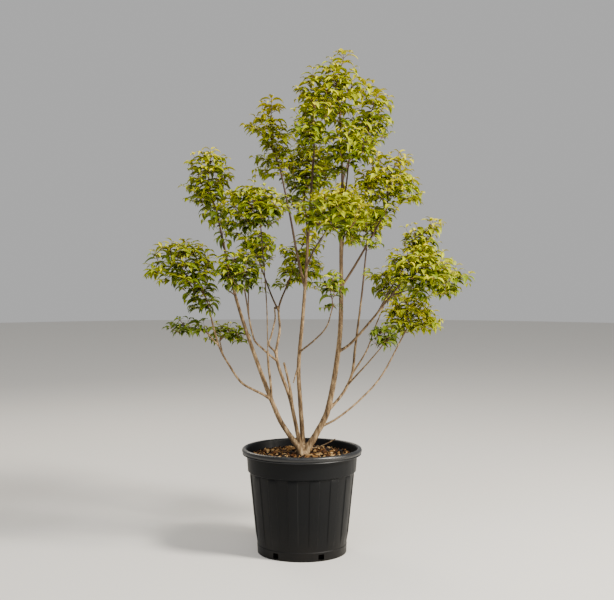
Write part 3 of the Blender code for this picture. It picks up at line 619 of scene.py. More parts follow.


def bark_crumb(name, colour, fibre_mm):
    """Composted bark: matt and streaky, with painted shade in its cracks and painted light on its
    crests.
    """
    material, tree, shader = new_finish(name, Roughness=0.88, IOR=1.45, Specular_IOR_Level=0.25)
    place = add_node(tree, "ShaderNodeTexCoord").outputs["Object"]
    fibres = add_node(tree, "ShaderNodeTexNoise", {
        "Vector": place, "Scale": per_metre(fibre_mm), "Detail": 4.0, "Roughness": 0.7})
    # The fibre pattern also raises the relief, so these tones paint shade in its hollows and light
    # on its crests.
    dark, light = ([min(1.0, c * shade) for c in hex_colour(colour)[:3]] + [1.0]
                   for shade in (PAINTED_CRACK_SHADE, PAINTED_CREST_LIGHT))
    streaks_and_painted_relief_light = add_node(tree, "ShaderNodeMix", {
        "Factor": fibres.outputs["Fac"], FIRST_COLOUR: dark,
        SECOND_COLOUR: light}, data_type="RGBA")
    relief = add_node(tree, "ShaderNodeBump", {
        "Height": fibres.outputs["Fac"], "Strength": 0.6, "Distance": 0.001})
    tree.links.new(streaks_and_painted_relief_light.outputs[MIXED_COLOUR], shader.inputs["Base Color"])
    tree.links.new(relief.outputs["Normal"], shader.inputs["Normal"])
    return material


# The bed's near black is damp crumbs, and also painted shade in the gaps between the chips.
settle(bed, bark_crumb("damp_dark_compost", "#1a0e06", 4.0), "potting_mix", "potting_mix")
for tint, colour, share in CHIP_TINTS:
    corners, faces = joined(chip_parts[tint])
    chips = mesh_piece(f"bark_chips_{tint}", corners, faces)
    settle(chips, bark_crumb(f"composted_bark_{tint}", colour, 3.0), "potting_mix", "potting_mix")

# %% [markdown]
# ## The limbs
#
# A short trunk forks at once into four stems, and each stem throws thinner boughs. Every
# limb starts on its parent's middle line at a fork height and runs along a smooth course
# to its tip. The table holds each limb's two diameters and the few places that its course
# passes, in metres. It follows the construction model's limbs, with more places where a
# limb has a kink. A second table adds twigs too fine for that model, and a third the roots
# that carry the stems down into the mix.

# %% Table of limbs
Limb = namedtuple("Limb", "name parent fork_height diameters course")
LIMBS = (
    Limb("right_stem", "trunk", 0.428, (0.028, 0.008), (
        (0.036, -0.002, 0.454), (0.056, 0.004, 0.486), (0.107, 0.010, 0.590),
        (0.154, 0.010, 0.865), (0.163, 0.010, 1.050), (0.162, 0.000, 1.300),
        (0.167, 0.000, 1.550), (0.157, 0.010, 1.810))),
    Limb("left_stem", "trunk", 0.430, (0.023, 0.008), (
        (-0.026, -0.016, 0.458), (-0.051, -0.014, 0.490), (-0.096, -0.020, 0.565),
        (-0.184, -0.030, 0.795), (-0.266, -0.020, 1.040), (-0.315, 0.010, 1.240),
        (-0.353, 0.040, 1.410))),
    Limb("centre_stem", "trunk", 0.432, (0.021, 0.008), (
        (0.003, 0.014, 0.462), (-0.007, 0.020, 0.620), (-0.014, 0.020, 0.770),
        (0.002, 0.010, 0.965), (0.014, -0.010, 1.120), (0.025, -0.040, 1.300),
        (0.049, -0.100, 1.655))),
    Limb("inner_left_stem", "trunk", 0.435, (0.019, 0.007), (
        (-0.010, -0.015, 0.462), (-0.028, -0.018, 0.548), (-0.051, -0.020, 0.650),
        (-0.105, -0.020, 0.815), (-0.093, 0.040, 0.925), (-0.098, 0.120, 1.015),
        (-0.065, 0.200, 1.105))),
    Limb("far_left_bough", "left_stem", 0.640, (0.011, 0.006), (
        (-0.163, -0.042, 0.666), (-0.193, -0.052, 0.682), (-0.247, -0.072, 0.717),
        (-0.293, -0.095, 0.786), (-0.335, -0.113, 0.868), (-0.379, -0.150, 1.048))),
    Limb("low_left_bough", "far_left_bough", 0.870, (0.006, 0.005), (
        (-0.376, -0.170, 0.925),)),
    Limb("low_inner_bough", "far_left_bough", 0.835, (0.006, 0.005), (
        (-0.337, -0.040, 0.881),)),
    Limb("left_front_bough", "left_stem", 0.638, (0.011, 0.006), (
        (-0.129, -0.045, 0.710), (-0.138, -0.064, 0.798), (-0.142, -0.140, 1.048),
        (-0.162, -0.200, 1.345))),
    Limb("left_side_bough", "inner_left_stem", 0.800, (0.009, 0.006), (
        (-0.159, -0.070, 0.855), (-0.195, -0.100, 0.899), (-0.225, -0.220, 1.096))),
    Limb("left_back_bough", "inner_left_stem", 1.000, (0.008, 0.006), (
        (-0.129, 0.150, 1.060), (-0.174, 0.240, 1.170))),
    Limb("high_left_bough", "centre_stem", 1.103, (0.012, 0.007), (
        (-0.021, 0.030, 1.247), (-0.051, 0.070, 1.409), (-0.084, 0.110, 1.561))),
    Limb("centre_back_bough", "centre_stem", 1.220, (0.009, 0.006), (
        (0.021, 0.090, 1.334), (0.012, 0.180, 1.455))),
    Limb("centre_front_bough", "centre_stem", 1.190, (0.009, 0.006), (
        (0.049, -0.120, 1.261), (0.084, -0.240, 1.318))),
    Limb("low_centre_bough", "centre_stem", 0.834, (0.008, 0.005), (
        (0.054, -0.080, 0.895), (0.100, -0.220, 0.961), (0.119, -0.300, 1.033))),
    Limb("top_right_bough", "right_stem", 1.548, (0.010, 0.007), (
        (0.200, 0.060, 1.633), (0.261, 0.120, 1.700))),
    Limb("high_right_bough", "right_stem", 1.430, (0.008, 0.006), (
        (0.179, -0.080, 1.512), (0.185, -0.140, 1.582))),
    Limb("right_bough", "right_stem", 1.106, (0.011, 0.007), (
        (0.218, -0.010, 1.194), (0.291, -0.050, 1.325), (0.335, -0.070, 1.407))),
    Limb("centre_far_bough", "right_stem", 1.180, (0.010, 0.006), (
        (0.174, 0.160, 1.283), (0.188, 0.310, 1.356))),
    Limb("right_side_bough", "right_stem", 0.835, (0.012, 0.007), (
        (0.199, -0.010, 0.870), (0.280, -0.040, 0.964), (0.344, -0.070, 1.048),
        (0.403, -0.100, 1.127))),
    Limb("far_right_top_bough", "right_side_bough", 1.005, (0.007, 0.005), (
        (0.388, 0.030, 1.130), (0.459, 0.090, 1.225))),
    Limb("far_right_bough", "right_side_bough", 1.075, (0.006, 0.005), (
        (0.468, 0.000, 1.102), (0.551, 0.040, 1.117))),
    Limb("right_back_stem", "right_stem", 0.585, (0.013, 0.007), (
        (0.173, 0.030, 0.663), (0.210, 0.050, 0.740), (0.223, 0.080, 0.837),
        (0.254, 0.150, 1.061), (0.275, 0.200, 1.248))),
    Limb("right_back_bough", "right_back_stem", 0.735, (0.008, 0.005), (
        (0.277, 0.160, 0.829), (0.321, 0.250, 0.930), (0.355, 0.300, 1.001))),
    Limb("lower_right_bough", "right_back_stem", 0.695, (0.008, 0.005), (
        (0.263, -0.060, 0.788), (0.314, -0.170, 0.865))),
    Limb("low_right_bough", "right_stem", 0.520, (0.0095, 0.006), (
        (0.145, 0.030, 0.553), (0.240, 0.070, 0.623), (0.335, 0.120, 0.719),
        (0.437, 0.170, 0.897))),
    Limb("broken_stub", "inner_left_stem", 0.592, (0.013, 0.009), (
        (-0.047, -0.040, 0.677), (-0.057, -0.050, 0.730), (-0.074, -0.060, 0.799))),
    Limb("low_shoot", "trunk", 0.426, (0.0056, 0.0046), (
        (0.066, -0.010, 0.440), (0.104, -0.015, 0.456), (0.139, -0.020, 0.476))),
)
FINE_LIMBS = (
    Limb("bowed_bough", "inner_left_stem", 0.822, (0.008, 0.0065), (
        (-0.116, -0.030, 0.846), (-0.134, -0.035, 0.864), (-0.136, -0.030, 0.879),
        (-0.128, -0.010, 0.902), (-0.119, 0.030, 0.938), (-0.113, 0.075, 0.972),
        (-0.117, 0.130, 1.015))),
    Limb("left_side_fork", "left_side_bough", 1.000, (0.0055, 0.0045), (
        (-0.214, -0.170, 1.050), (-0.213, -0.170, 1.113))),
    Limb("left_hanging_twig", "left_stem", 1.072, (0.0055, 0.0045), (
        (-0.298, -0.030, 1.090), (-0.315, -0.045, 1.102))),
    Limb("dry_spur", "centre_stem", 0.776, (0.009, 0.0045), (
        (-0.023, 0.006, 0.752), (-0.029, -0.004, 0.731), (-0.036, -0.010, 0.708))),
)
CUT_BACK = {"left_front_bough": (0.850, 0.0024)}  # above this height only a thin shoot goes on
TRUNK_RINGS = ((SOIL_LEVEL - 0.006, 0.0260), (0.410, 0.0215), (0.418, 0.0185), (0.430, 0.0175),
               (0.440, 0.0180), (0.448, 0.0150), (0.454, 0.0070))
ROOTS = (                     # the radii at its two ends and its course, down into the mix
    ((0.0115, 0.0130), ((-0.051, -0.014, 0.490), (-0.025, -0.020, 0.455), (-0.007, -0.027, 0.428),
                        (0.003, -0.032, 0.398))),
    ((0.0138, 0.0145), ((0.056, 0.004, 0.486), (0.036, -0.002, 0.454), (0.022, -0.008, 0.428),
                        (0.014, -0.012, 0.398))),
    ((0.0085, 0.0055), ((0.008, -0.018, 0.424), (0.020, -0.036, 0.408), (0.030, -0.048, 0.396))),
    ((0.0110, 0.0060), ((0.000, 0.008, 0.432), (-0.012, 0.030, 0.411), (-0.022, 0.046, 0.396))),
    ((0.0100, 0.0055), ((0.010, 0.006, 0.432), (0.032, 0.022, 0.410), (0.048, 0.030, 0.396))),
    ((0.0085, 0.0050), ((-0.008, 0.002, 0.428), (-0.030, 0.006, 0.409), (-0.046, 0.010, 0.396))),
)
print(len(LIMBS) + len(FINE_LIMBS), "limbs on one trunk, with", len(ROOTS), "roots")

# %% [markdown]
# ## The course of a limb
#
# A smooth curve goes through the places in the table, by a Bezier span between each two.
# The limb thins quickly near its foot and slowly further on, and swells into a collar
# where it leaves its parent. A fine step along the curve keeps the bends round.

# %% Courses of the limbs
LIMB_STEP = 0.008
LIMB_TAPER = 0.85
LIMB_COLLAR = 0.15
LIMB_COLLAR_FADE = 0.025


def flowing_line(stations, step):
    """Points about a step apart on a smooth curve through the stations."""
    last = len(stations) - 1
    headings = []
    for i in range(last + 1):
        headings.append((stations[min(i + 1, last)] - stations[max(i - 1, 0)]).normalized())
    line = [stations[0]]
    for i in range(last):
        start, end = stations[i], stations[i + 1]
        pull = (end - start).length / 3.0
        count = max(1, round((end - start).length / step)) + 1
        line += interpolate_bezier(start, start + headings[i] * pull,
                                   end - headings[i + 1] * pull, end, count)[1:]
    return line


def running_lengths(line):
    lengths = [0.0]
    for start, end in zip(line, line[1:]):
        lengths.append(lengths[-1] + (end - start).length)
    return lengths


def limb_radii(line, diameters):
    """Radius at each point: a steady taper with a swollen collar at the foot."""
    lengths = running_lengths(line)
    foot, tip = diameters[0] / 2.0, diameters[1] / 2.0
    radii = []
    for length in lengths:
        taper = foot + (tip - foot) * (length / lengths[-1]) ** LIMB_TAPER
        radii.append(taper * (1.0 + LIMB_COLLAR * math.exp(-length / LIMB_COLLAR_FADE)))
    return radii


def foot_on_parent(line, height):
    """The point of a rising line at a height."""
    for start, end in zip(line, line[1:]):
        if start.z <= height <= end.z:
            return start.lerp(end, (height - start.z) / (end.z - start.z))
    raise ValueError(f"no point at height {height}")


limb_lines = {"trunk": ([Vector((0.0, 0.0, height)) for height, radius in TRUNK_RINGS],
                        [radius for height, radius in TRUNK_RINGS])}
for k, (ends, course) in enumerate(ROOTS):
    line = flowing_line([Vector(place) for place in course], LIMB_STEP / 2.0)
    limb_lines[f"root_{k + 1}"] = (line, np.linspace(ends[0], ends[1], len(line)).tolist())
for limb in LIMBS + FINE_LIMBS:
    foot = foot_on_parent(limb_lines[limb.parent][0], limb.fork_height)
    line = flowing_line([foot] + [Vector(place) for place in limb.course], LIMB_STEP)
    radii = limb_radii(line, limb.diameters)
    if limb.name in CUT_BACK:
        cut_height, thin = CUT_BACK[limb.name]
        radii = [radius if place.z < cut_height else thin for place, radius in zip(line, radii)]
    limb_lines[limb.name] = (line, radii)
all_limbs = sum(running_lengths(line)[-1] for line, radii in limb_lines.values())
print("limbs in all:", round(all_limbs, 2), "m")

# %% [markdown]
# ## Tubes along lines
#
# Stems, twigs and leaf stalks are all round tubes along a line. This builds any number of
# them at once as arrays: a ring of corners at each point, faces between the rings, and a
# point at each end. A frame is carried along the line so that a tube never twists.

# %% Tubes as arrays
def tube(line, radii, sides):
    """Corners and four-sided or three-sided faces of one closed tube."""
    count = len(line)
    across = None
    corners, faces = [], []
    for i, (place, radius) in enumerate(zip(line, radii)):
        way = (line[min(i + 1, count - 1)] - line[max(i - 1, 0)]).normalized()
        across = way.orthogonal() if across is None else across - way * across.dot(way)
        across.normalize()
        other = way.cross(across)
        for k in range(sides):
            turn = 2.0 * math.pi * k / sides
            corners.append(place + (across * math.cos(turn) + other * math.sin(turn)) * radius)
    for i in range(count - 1):
        for k in range(sides):
            a, b = i * sides + k, i * sides + (k + 1) % sides
            faces.append((a, b, b + sides, a + sides))
    foot, tip = len(corners), len(corners) + 1
    corners += [line[0], line[-1]]
    last = (count - 1) * sides
    for k in range(sides):
        faces.append((foot, (k + 1) % sides, k))
        faces.append((tip, last + k, last + (k + 1) % sides))
    return corners, faces


def tubes(name, lines_and_radii, sides):
    corners, faces = [], []
    for line, radii in lines_and_radii:
        base = len(corners)
        part_corners, part_faces = tube(line, radii, sides)
        corners += part_corners
        faces += [tuple(base + index for index in face) for face in part_faces]
    return mesh_piece(name, corners, faces)


print("a short tube has", len(tube([Vector(), UP, UP * 2.0], (1.0, 1.0, 1.0), 6)[1]), "faces")

# %% [markdown]
# ## One skin over trunk, stems and boughs
#
# On the real plant a bough doesn't stick into its stem like a peg: the bark flows over the
# fork. So the tubes are joined and remeshed with small voxels, which fuses them into one
# closed skin, and a few rounds of smoothing round the creases of the forks.

# %% Fuse the limbs
VOXEL = 0.0027
SMOOTHING_GAIN = 0.00025      # smoothing thins a tube by about this much
SMOOTHING_ROUNDS = 3
LIMB_SIDES = 14

wood = tubes("trunk_stems_and_boughs",
             [(line, [radius + SMOOTHING_GAIN for radius in radii])
              for line, radii in limb_lines.values()], LIMB_SIDES)
take(wood)
wood.data.remesh_voxel_size = VOXEL
bpy.ops.object.voxel_remesh()
smoothing = wood.modifiers.new("smoothing", "SMOOTH")
smoothing.factor = 0.5
smoothing.iterations = SMOOTHING_ROUNDS
apply_all(wood)
print("fused wood has", triangles(wood), "triangles")

# %% [markdown]
# ## Bark relief
#
# The bark of young wood is smooth but never even: shallow lengthwise ripples, slight rings
# where leaves once sat, and on the oldest wood at the base a rougher skin. Each corner is
# moved in or out along its normal by noise that is stretched along Z. The relief grows with
# the limb's thickness. The same loop stores each corner's age for the material: one on the
# thick old wood, down to zero on the youngest. Height bends that age too: thin wood below the
# leaves counts as older and paler, partly weathered and partly painted light, and wood high
# in the crown as younger and darker, partly young bark and partly painted shade.

# %% Relief and age of the bark
BARK_RIPPLE = 0.00045
RIPPLES, FINE_RIPPLES = 190.0, 330.0  # to a metre
RIPPLE_STRETCH = 0.25         # upwards, ripples are four times as long
KNUCKLE = 0.0016
KNUCKLES = 45.0
ROOT_FLARE = 0.0030           # how deep the hollows between the roots are
ROOT_FLARE_HEIGHT = 0.045
BUTTRESSES = 42.0
BUTTRESS_STRETCH = 0.4
OLD_RADIUS = 0.0125
YOUNG_RADIUS = 0.0032
WEATHERED_AGE_AND_PAINTED_LIGHT = 0.5           # even thin wood is this old and pale below the leaves: partly weathered, partly painted light
LEAVES_FROM, LEAVES_BY = 0.92, 1.12  # where the leaves begin to shade the wood
CROWN_SHADE_FROM, CROWN_SHADE_BY = 1.05, 1.50  # wood this high is younger and darker: partly young bark, partly painted shade of the crown
CROWN_YOUTH_AND_PAINTED_SHADE = 0.85

wood_points = []
for line, radii in limb_lines.values():
    for place, radius in zip(line, radii):
        age = min(1.0, max(0.0, (radius - YOUNG_RADIUS) / (OLD_RADIUS - YOUNG_RADIUS)))
        # Thin wood below the leaves is made older and paler, partly weathering and partly painted
        # light; wood high in the crown is made younger and darker, partly young bark and partly
        # painted shade.
        age = max(age, WEATHERED_AGE_AND_PAINTED_LIGHT * (1.0 - float(smooth_step(place.z, LEAVES_FROM, LEAVES_BY))))
        age *= 1.0 - CROWN_YOUTH_AND_PAINTED_SHADE * float(smooth_step(place.z, CROWN_SHADE_FROM, CROWN_SHADE_BY))
        wood_points.append((place, radius, age))
wood_tree = kdtree.KDTree(len(wood_points))
for i, (place, radius, age) in enumerate(wood_points):
    wood_tree.insert(place, i)
wood_tree.balance()

ages_and_painted_light = [wood_points[wood_tree.find(vertex.co)[1]][2] for vertex in wood.data.vertices]
normals = [vertex.normal.copy() for vertex in wood.data.vertices]
for vertex, normal, age in zip(wood.data.vertices, normals, ages_and_painted_light):
    x, y, z = vertex.co
    ripple = (noise.noise(Vector((x, y, z * RIPPLE_STRETCH)) * RIPPLES)
              + 0.5 * noise.noise(vertex.co * FINE_RIPPLES))
    knuckle = max(0.0, noise.noise(vertex.co * KNUCKLES) - 0.25)
    rooty = max(0.0, 1.0 - (z - SOIL_LEVEL) / ROOT_FLARE_HEIGHT)
    buttress = noise.noise(Vector((x, y, z * BUTTRESS_STRETCH)) * BUTTRESSES) - 0.3
    vertex.co += normal * (BARK_RIPPLE * (0.3 + age) * ripple + KNUCKLE * knuckle
                           + ROOT_FLARE * min(1.0, rooty) * buttress)
age_and_painted_light_layer = wood.data.attributes.new("age", "FLOAT", "POINT")
age_and_painted_light_layer.data.foreach_set("value", ages_and_painted_light)
wood.data.shade_smooth()
print("ages from", round(min(ages_and_painted_light), 2), "to", round(max(ages_and_painted_light), 2))

# %% [markdown]
# ## Young bark
#
# Old wood is a warm grey tan with darker patches and dark breathing pores a few
# millimetres apart. Towards the tips it turns olive, then red-brown, and a little glossier,
# because the youngest bark is still skin. The age attribute drives that change, and with it
# the painted light on the wood below the leaves and the painted shade on the wood high in
# the crown. The patterns read Object coordinates, stretched along the limbs.

# %% Bark finish
OLD_SKIN = ((0.34, "#3d2e1d"), (0.50, "#776044"), (0.66, "#b09670"))

bark, tree, shader = new_finish("thin_tan_bark", IOR=1.46, Specular_IOR_Level=0.3)
place = add_node(tree, "ShaderNodeTexCoord").outputs["Object"]
age = add_node(tree, "ShaderNodeAttribute", attribute_name="age").outputs["Fac"]
lengthwise = add_node(tree, "ShaderNodeMapping", {"Vector": place, "Scale": (1.0, 1.0, 0.22)})
patches = add_node(tree, "ShaderNodeTexNoise", {
    "Vector": lengthwise.outputs["Vector"], "Scale": per_metre(11.0),
    "Detail": 6.0, "Roughness": 0.70}).outputs["Fac"]
old_skin = add_node(tree, "ShaderNodeValToRGB", {"Fac": patches})
stops = old_skin.color_ramp.elements
stops.new(OLD_SKIN[1][0])
for stop, (position, colour) in zip(stops, OLD_SKIN):
    stop.position = position
    stop.color = hex_colour(colour)
young_skin = add_node(tree, "ShaderNodeMix", {
    "Factor": patches, FIRST_COLOUR: hex_colour("#33231a"),
    SECOND_COLOUR: hex_colour("#574230")}, data_type="RGBA")
ageing_and_painted_light = add_node(tree, "ShaderNodeMapRange", {
    "Value": age, "From Min": 0.02, "From Max": 0.34, "To Min": 0.0, "To Max": 1.0})
skin = add_node(tree, "ShaderNodeMix", {
    "Factor": ageing_and_painted_light.outputs["Result"], FIRST_COLOUR: young_skin.outputs[MIXED_COLOUR],
    SECOND_COLOUR: old_skin.outputs["Color"]}, data_type="RGBA")
pores = add_node(tree, "ShaderNodeTexVoronoi", {"Vector": place, "Scale": per_metre(6.5)})
pore_mask = add_node(tree, "ShaderNodeMapRange", {
    "Value": pores.outputs["Distance"], "From Min": 0.14, "From Max": 0.26,
    "To Min": 0.55, "To Max": 0.0})
speckled = add_node(tree, "ShaderNodeMix", {
    "Factor": pore_mask.outputs["Result"], FIRST_COLOUR: skin.outputs[MIXED_COLOUR],
    SECOND_COLOUR: hex_colour("#3a2b1c")}, data_type="RGBA")
sheen = add_node(tree, "ShaderNodeMapRange", {
    "Value": age, "From Min": 0.0, "From Max": 0.5, "To Min": 0.52, "To Max": 0.80})
fine = add_node(tree, "ShaderNodeTexNoise", {
    "Vector": lengthwise.outputs["Vector"], "Scale": per_metre(2.2),
    "Detail": 5.0, "Roughness": 0.7})
relief = add_node(tree, "ShaderNodeBump", {
    "Height": fine.outputs["Fac"], "Strength": 0.5, "Distance": 0.0008})
tree.links.new(speckled.outputs[MIXED_COLOUR], shader.inputs["Base Color"])
tree.links.new(sheen.outputs["Result"], shader.inputs["Roughness"])
tree.links.new(relief.outputs["Normal"], shader.inputs["Normal"])
settle(wood, bark, "bark", "trunk", *[limb.name for limb in LIMBS])

# %% [markdown]
# ## Spaces for the foliage
#
# The foliage hangs in separate masses, each on the tip of one limb. A mass keeps to an
# egg-shaped space, walled off from its neighbours' spaces by flat planes, so masses meet
# but never mix. The table gives each space its middle and its reach along X, Y and Z, as
# the construction model has them. Low down, a mass carries mostly older, deep green leaves,
# and in full light mostly young, yellow-green ones. A second table says how far a mass
# leans to the one or the other; its shifts are partly that age and partly painted shade and
# painted light, darkening or lightening a whole mass by how much light it gets.

# %% Table of sprays
Spray = namedtuple("Spray", "name limb centre reach")
SPRAYS = (
    Spray("top_spray", "right_stem", (0.14, 0.02, 1.94), (0.175, 0.16, 0.170)),
    Spray("top_right_spray", "top_right_bough", (0.28, 0.15, 1.81), (0.115, 0.13, 0.140)),
    Spray("top_left_spray", "centre_stem", (0.04, -0.12, 1.77), (0.115, 0.13, 0.130)),
    Spray("high_left_spray", "high_left_bough", (-0.13, 0.14, 1.73), (0.120, 0.13, 0.180)),
    Spray("high_right_spray", "high_right_bough", (0.19, -0.19, 1.67), (0.125, 0.12, 0.110)),
    Spray("upper_left_spray", "left_stem", (-0.39, 0.06, 1.52), (0.125, 0.13, 0.175)),
    Spray("right_spray", "right_bough", (0.35, -0.10, 1.54), (0.135, 0.14, 0.135)),
    Spray("centre_back_spray", "centre_back_bough", (0.02, 0.24, 1.59), (0.130, 0.14, 0.130)),
    Spray("centre_far_spray", "centre_far_bough", (0.19, 0.42, 1.45), (0.125, 0.12, 0.110)),
    Spray("left_front_spray", "left_front_bough", (-0.18, -0.24, 1.44), (0.155, 0.15, 0.105)),
    Spray("centre_front_spray", "centre_front_bough", (0.12, -0.34, 1.41), (0.160, 0.15, 0.115)),
    Spray("right_back_spray", "right_back_stem", (0.28, 0.24, 1.36), (0.125, 0.14, 0.120)),
    Spray("left_back_spray", "left_back_bough", (-0.20, 0.30, 1.27), (0.120, 0.14, 0.120)),
    Spray("centre_low_spray", "inner_left_stem", (-0.01, 0.28, 1.25), (0.120, 0.14, 0.150)),
    Spray("far_right_top_spray", "far_right_top_bough", (0.48, 0.11, 1.30), (0.125, 0.12, 0.100)),
    Spray("left_side_spray", "left_side_bough", (-0.25, -0.27, 1.18), (0.100, 0.13, 0.085)),
    Spray("right_side_spray", "right_side_bough", (0.49, -0.12, 1.19), (0.145, 0.14, 0.110)),
    Spray("far_left_spray", "far_left_bough", (-0.48, -0.16, 1.19), (0.180, 0.15, 0.135)),
    Spray("far_right_spray", "far_right_bough", (0.63, 0.06, 1.14), (0.110, 0.12, 0.095)),
    Spray("low_centre_spray", "low_centre_bough", (0.11, -0.32, 1.13), (0.070, 0.10, 0.105)),
    Spray("right_inner_spray", "right_back_bough", (0.38, 0.34, 1.10), (0.100, 0.13, 0.120)),
    Spray("low_right_spray", "low_right_bough", (0.47, 0.20, 0.99), (0.135, 0.13, 0.110)),
    Spray("low_left_spray", "low_left_bough", (-0.46, -0.20, 0.96), (0.110, 0.10, 0.055)),
    Spray("lower_right_spray", "lower_right_bough", (0.33, -0.22, 0.93), (0.085, 0.11, 0.080)),
    Spray("low_inner_spray", "low_inner_bough", (-0.30, 0.03, 0.91), (0.095, 0.11, 0.065)),
)
# Shifts of each mass's tints: partly older or younger leaves, partly painted shade and painted
# light.
YOUTH_AND_PAINTED_LIGHT = {"low_left_spray": -0.56, "lower_right_spray": -0.75, "left_side_spray": -0.32,
         "low_inner_spray": -0.25, "low_centre_spray": -0.24, "upper_left_spray": -0.19,
         "far_left_spray": -0.14, "left_front_spray": -0.13, "top_left_spray": -0.10,
         "left_back_spray": -0.10, "centre_low_spray": 0.08, "right_back_spray": 0.08,
         "low_right_spray": 0.16, "right_spray": 0.15, "far_right_spray": -0.07,
         "top_right_spray": -0.06, "high_right_spray": -0.05}
print(len(SPRAYS), "masses of foliage,", len(YOUTH_AND_PAINTED_LIGHT), "of them older or younger than the rest")

# %% [markdown]
# ## Ragged masses
#
# Real foliage is more ragged than an egg: it has a pointed top, side arms, and holes that
# the sky shows through. So a mass may list a few smaller lobes, with the topmost first,
# and then its leaves keep to those instead. A mass with none listed fills its whole egg.

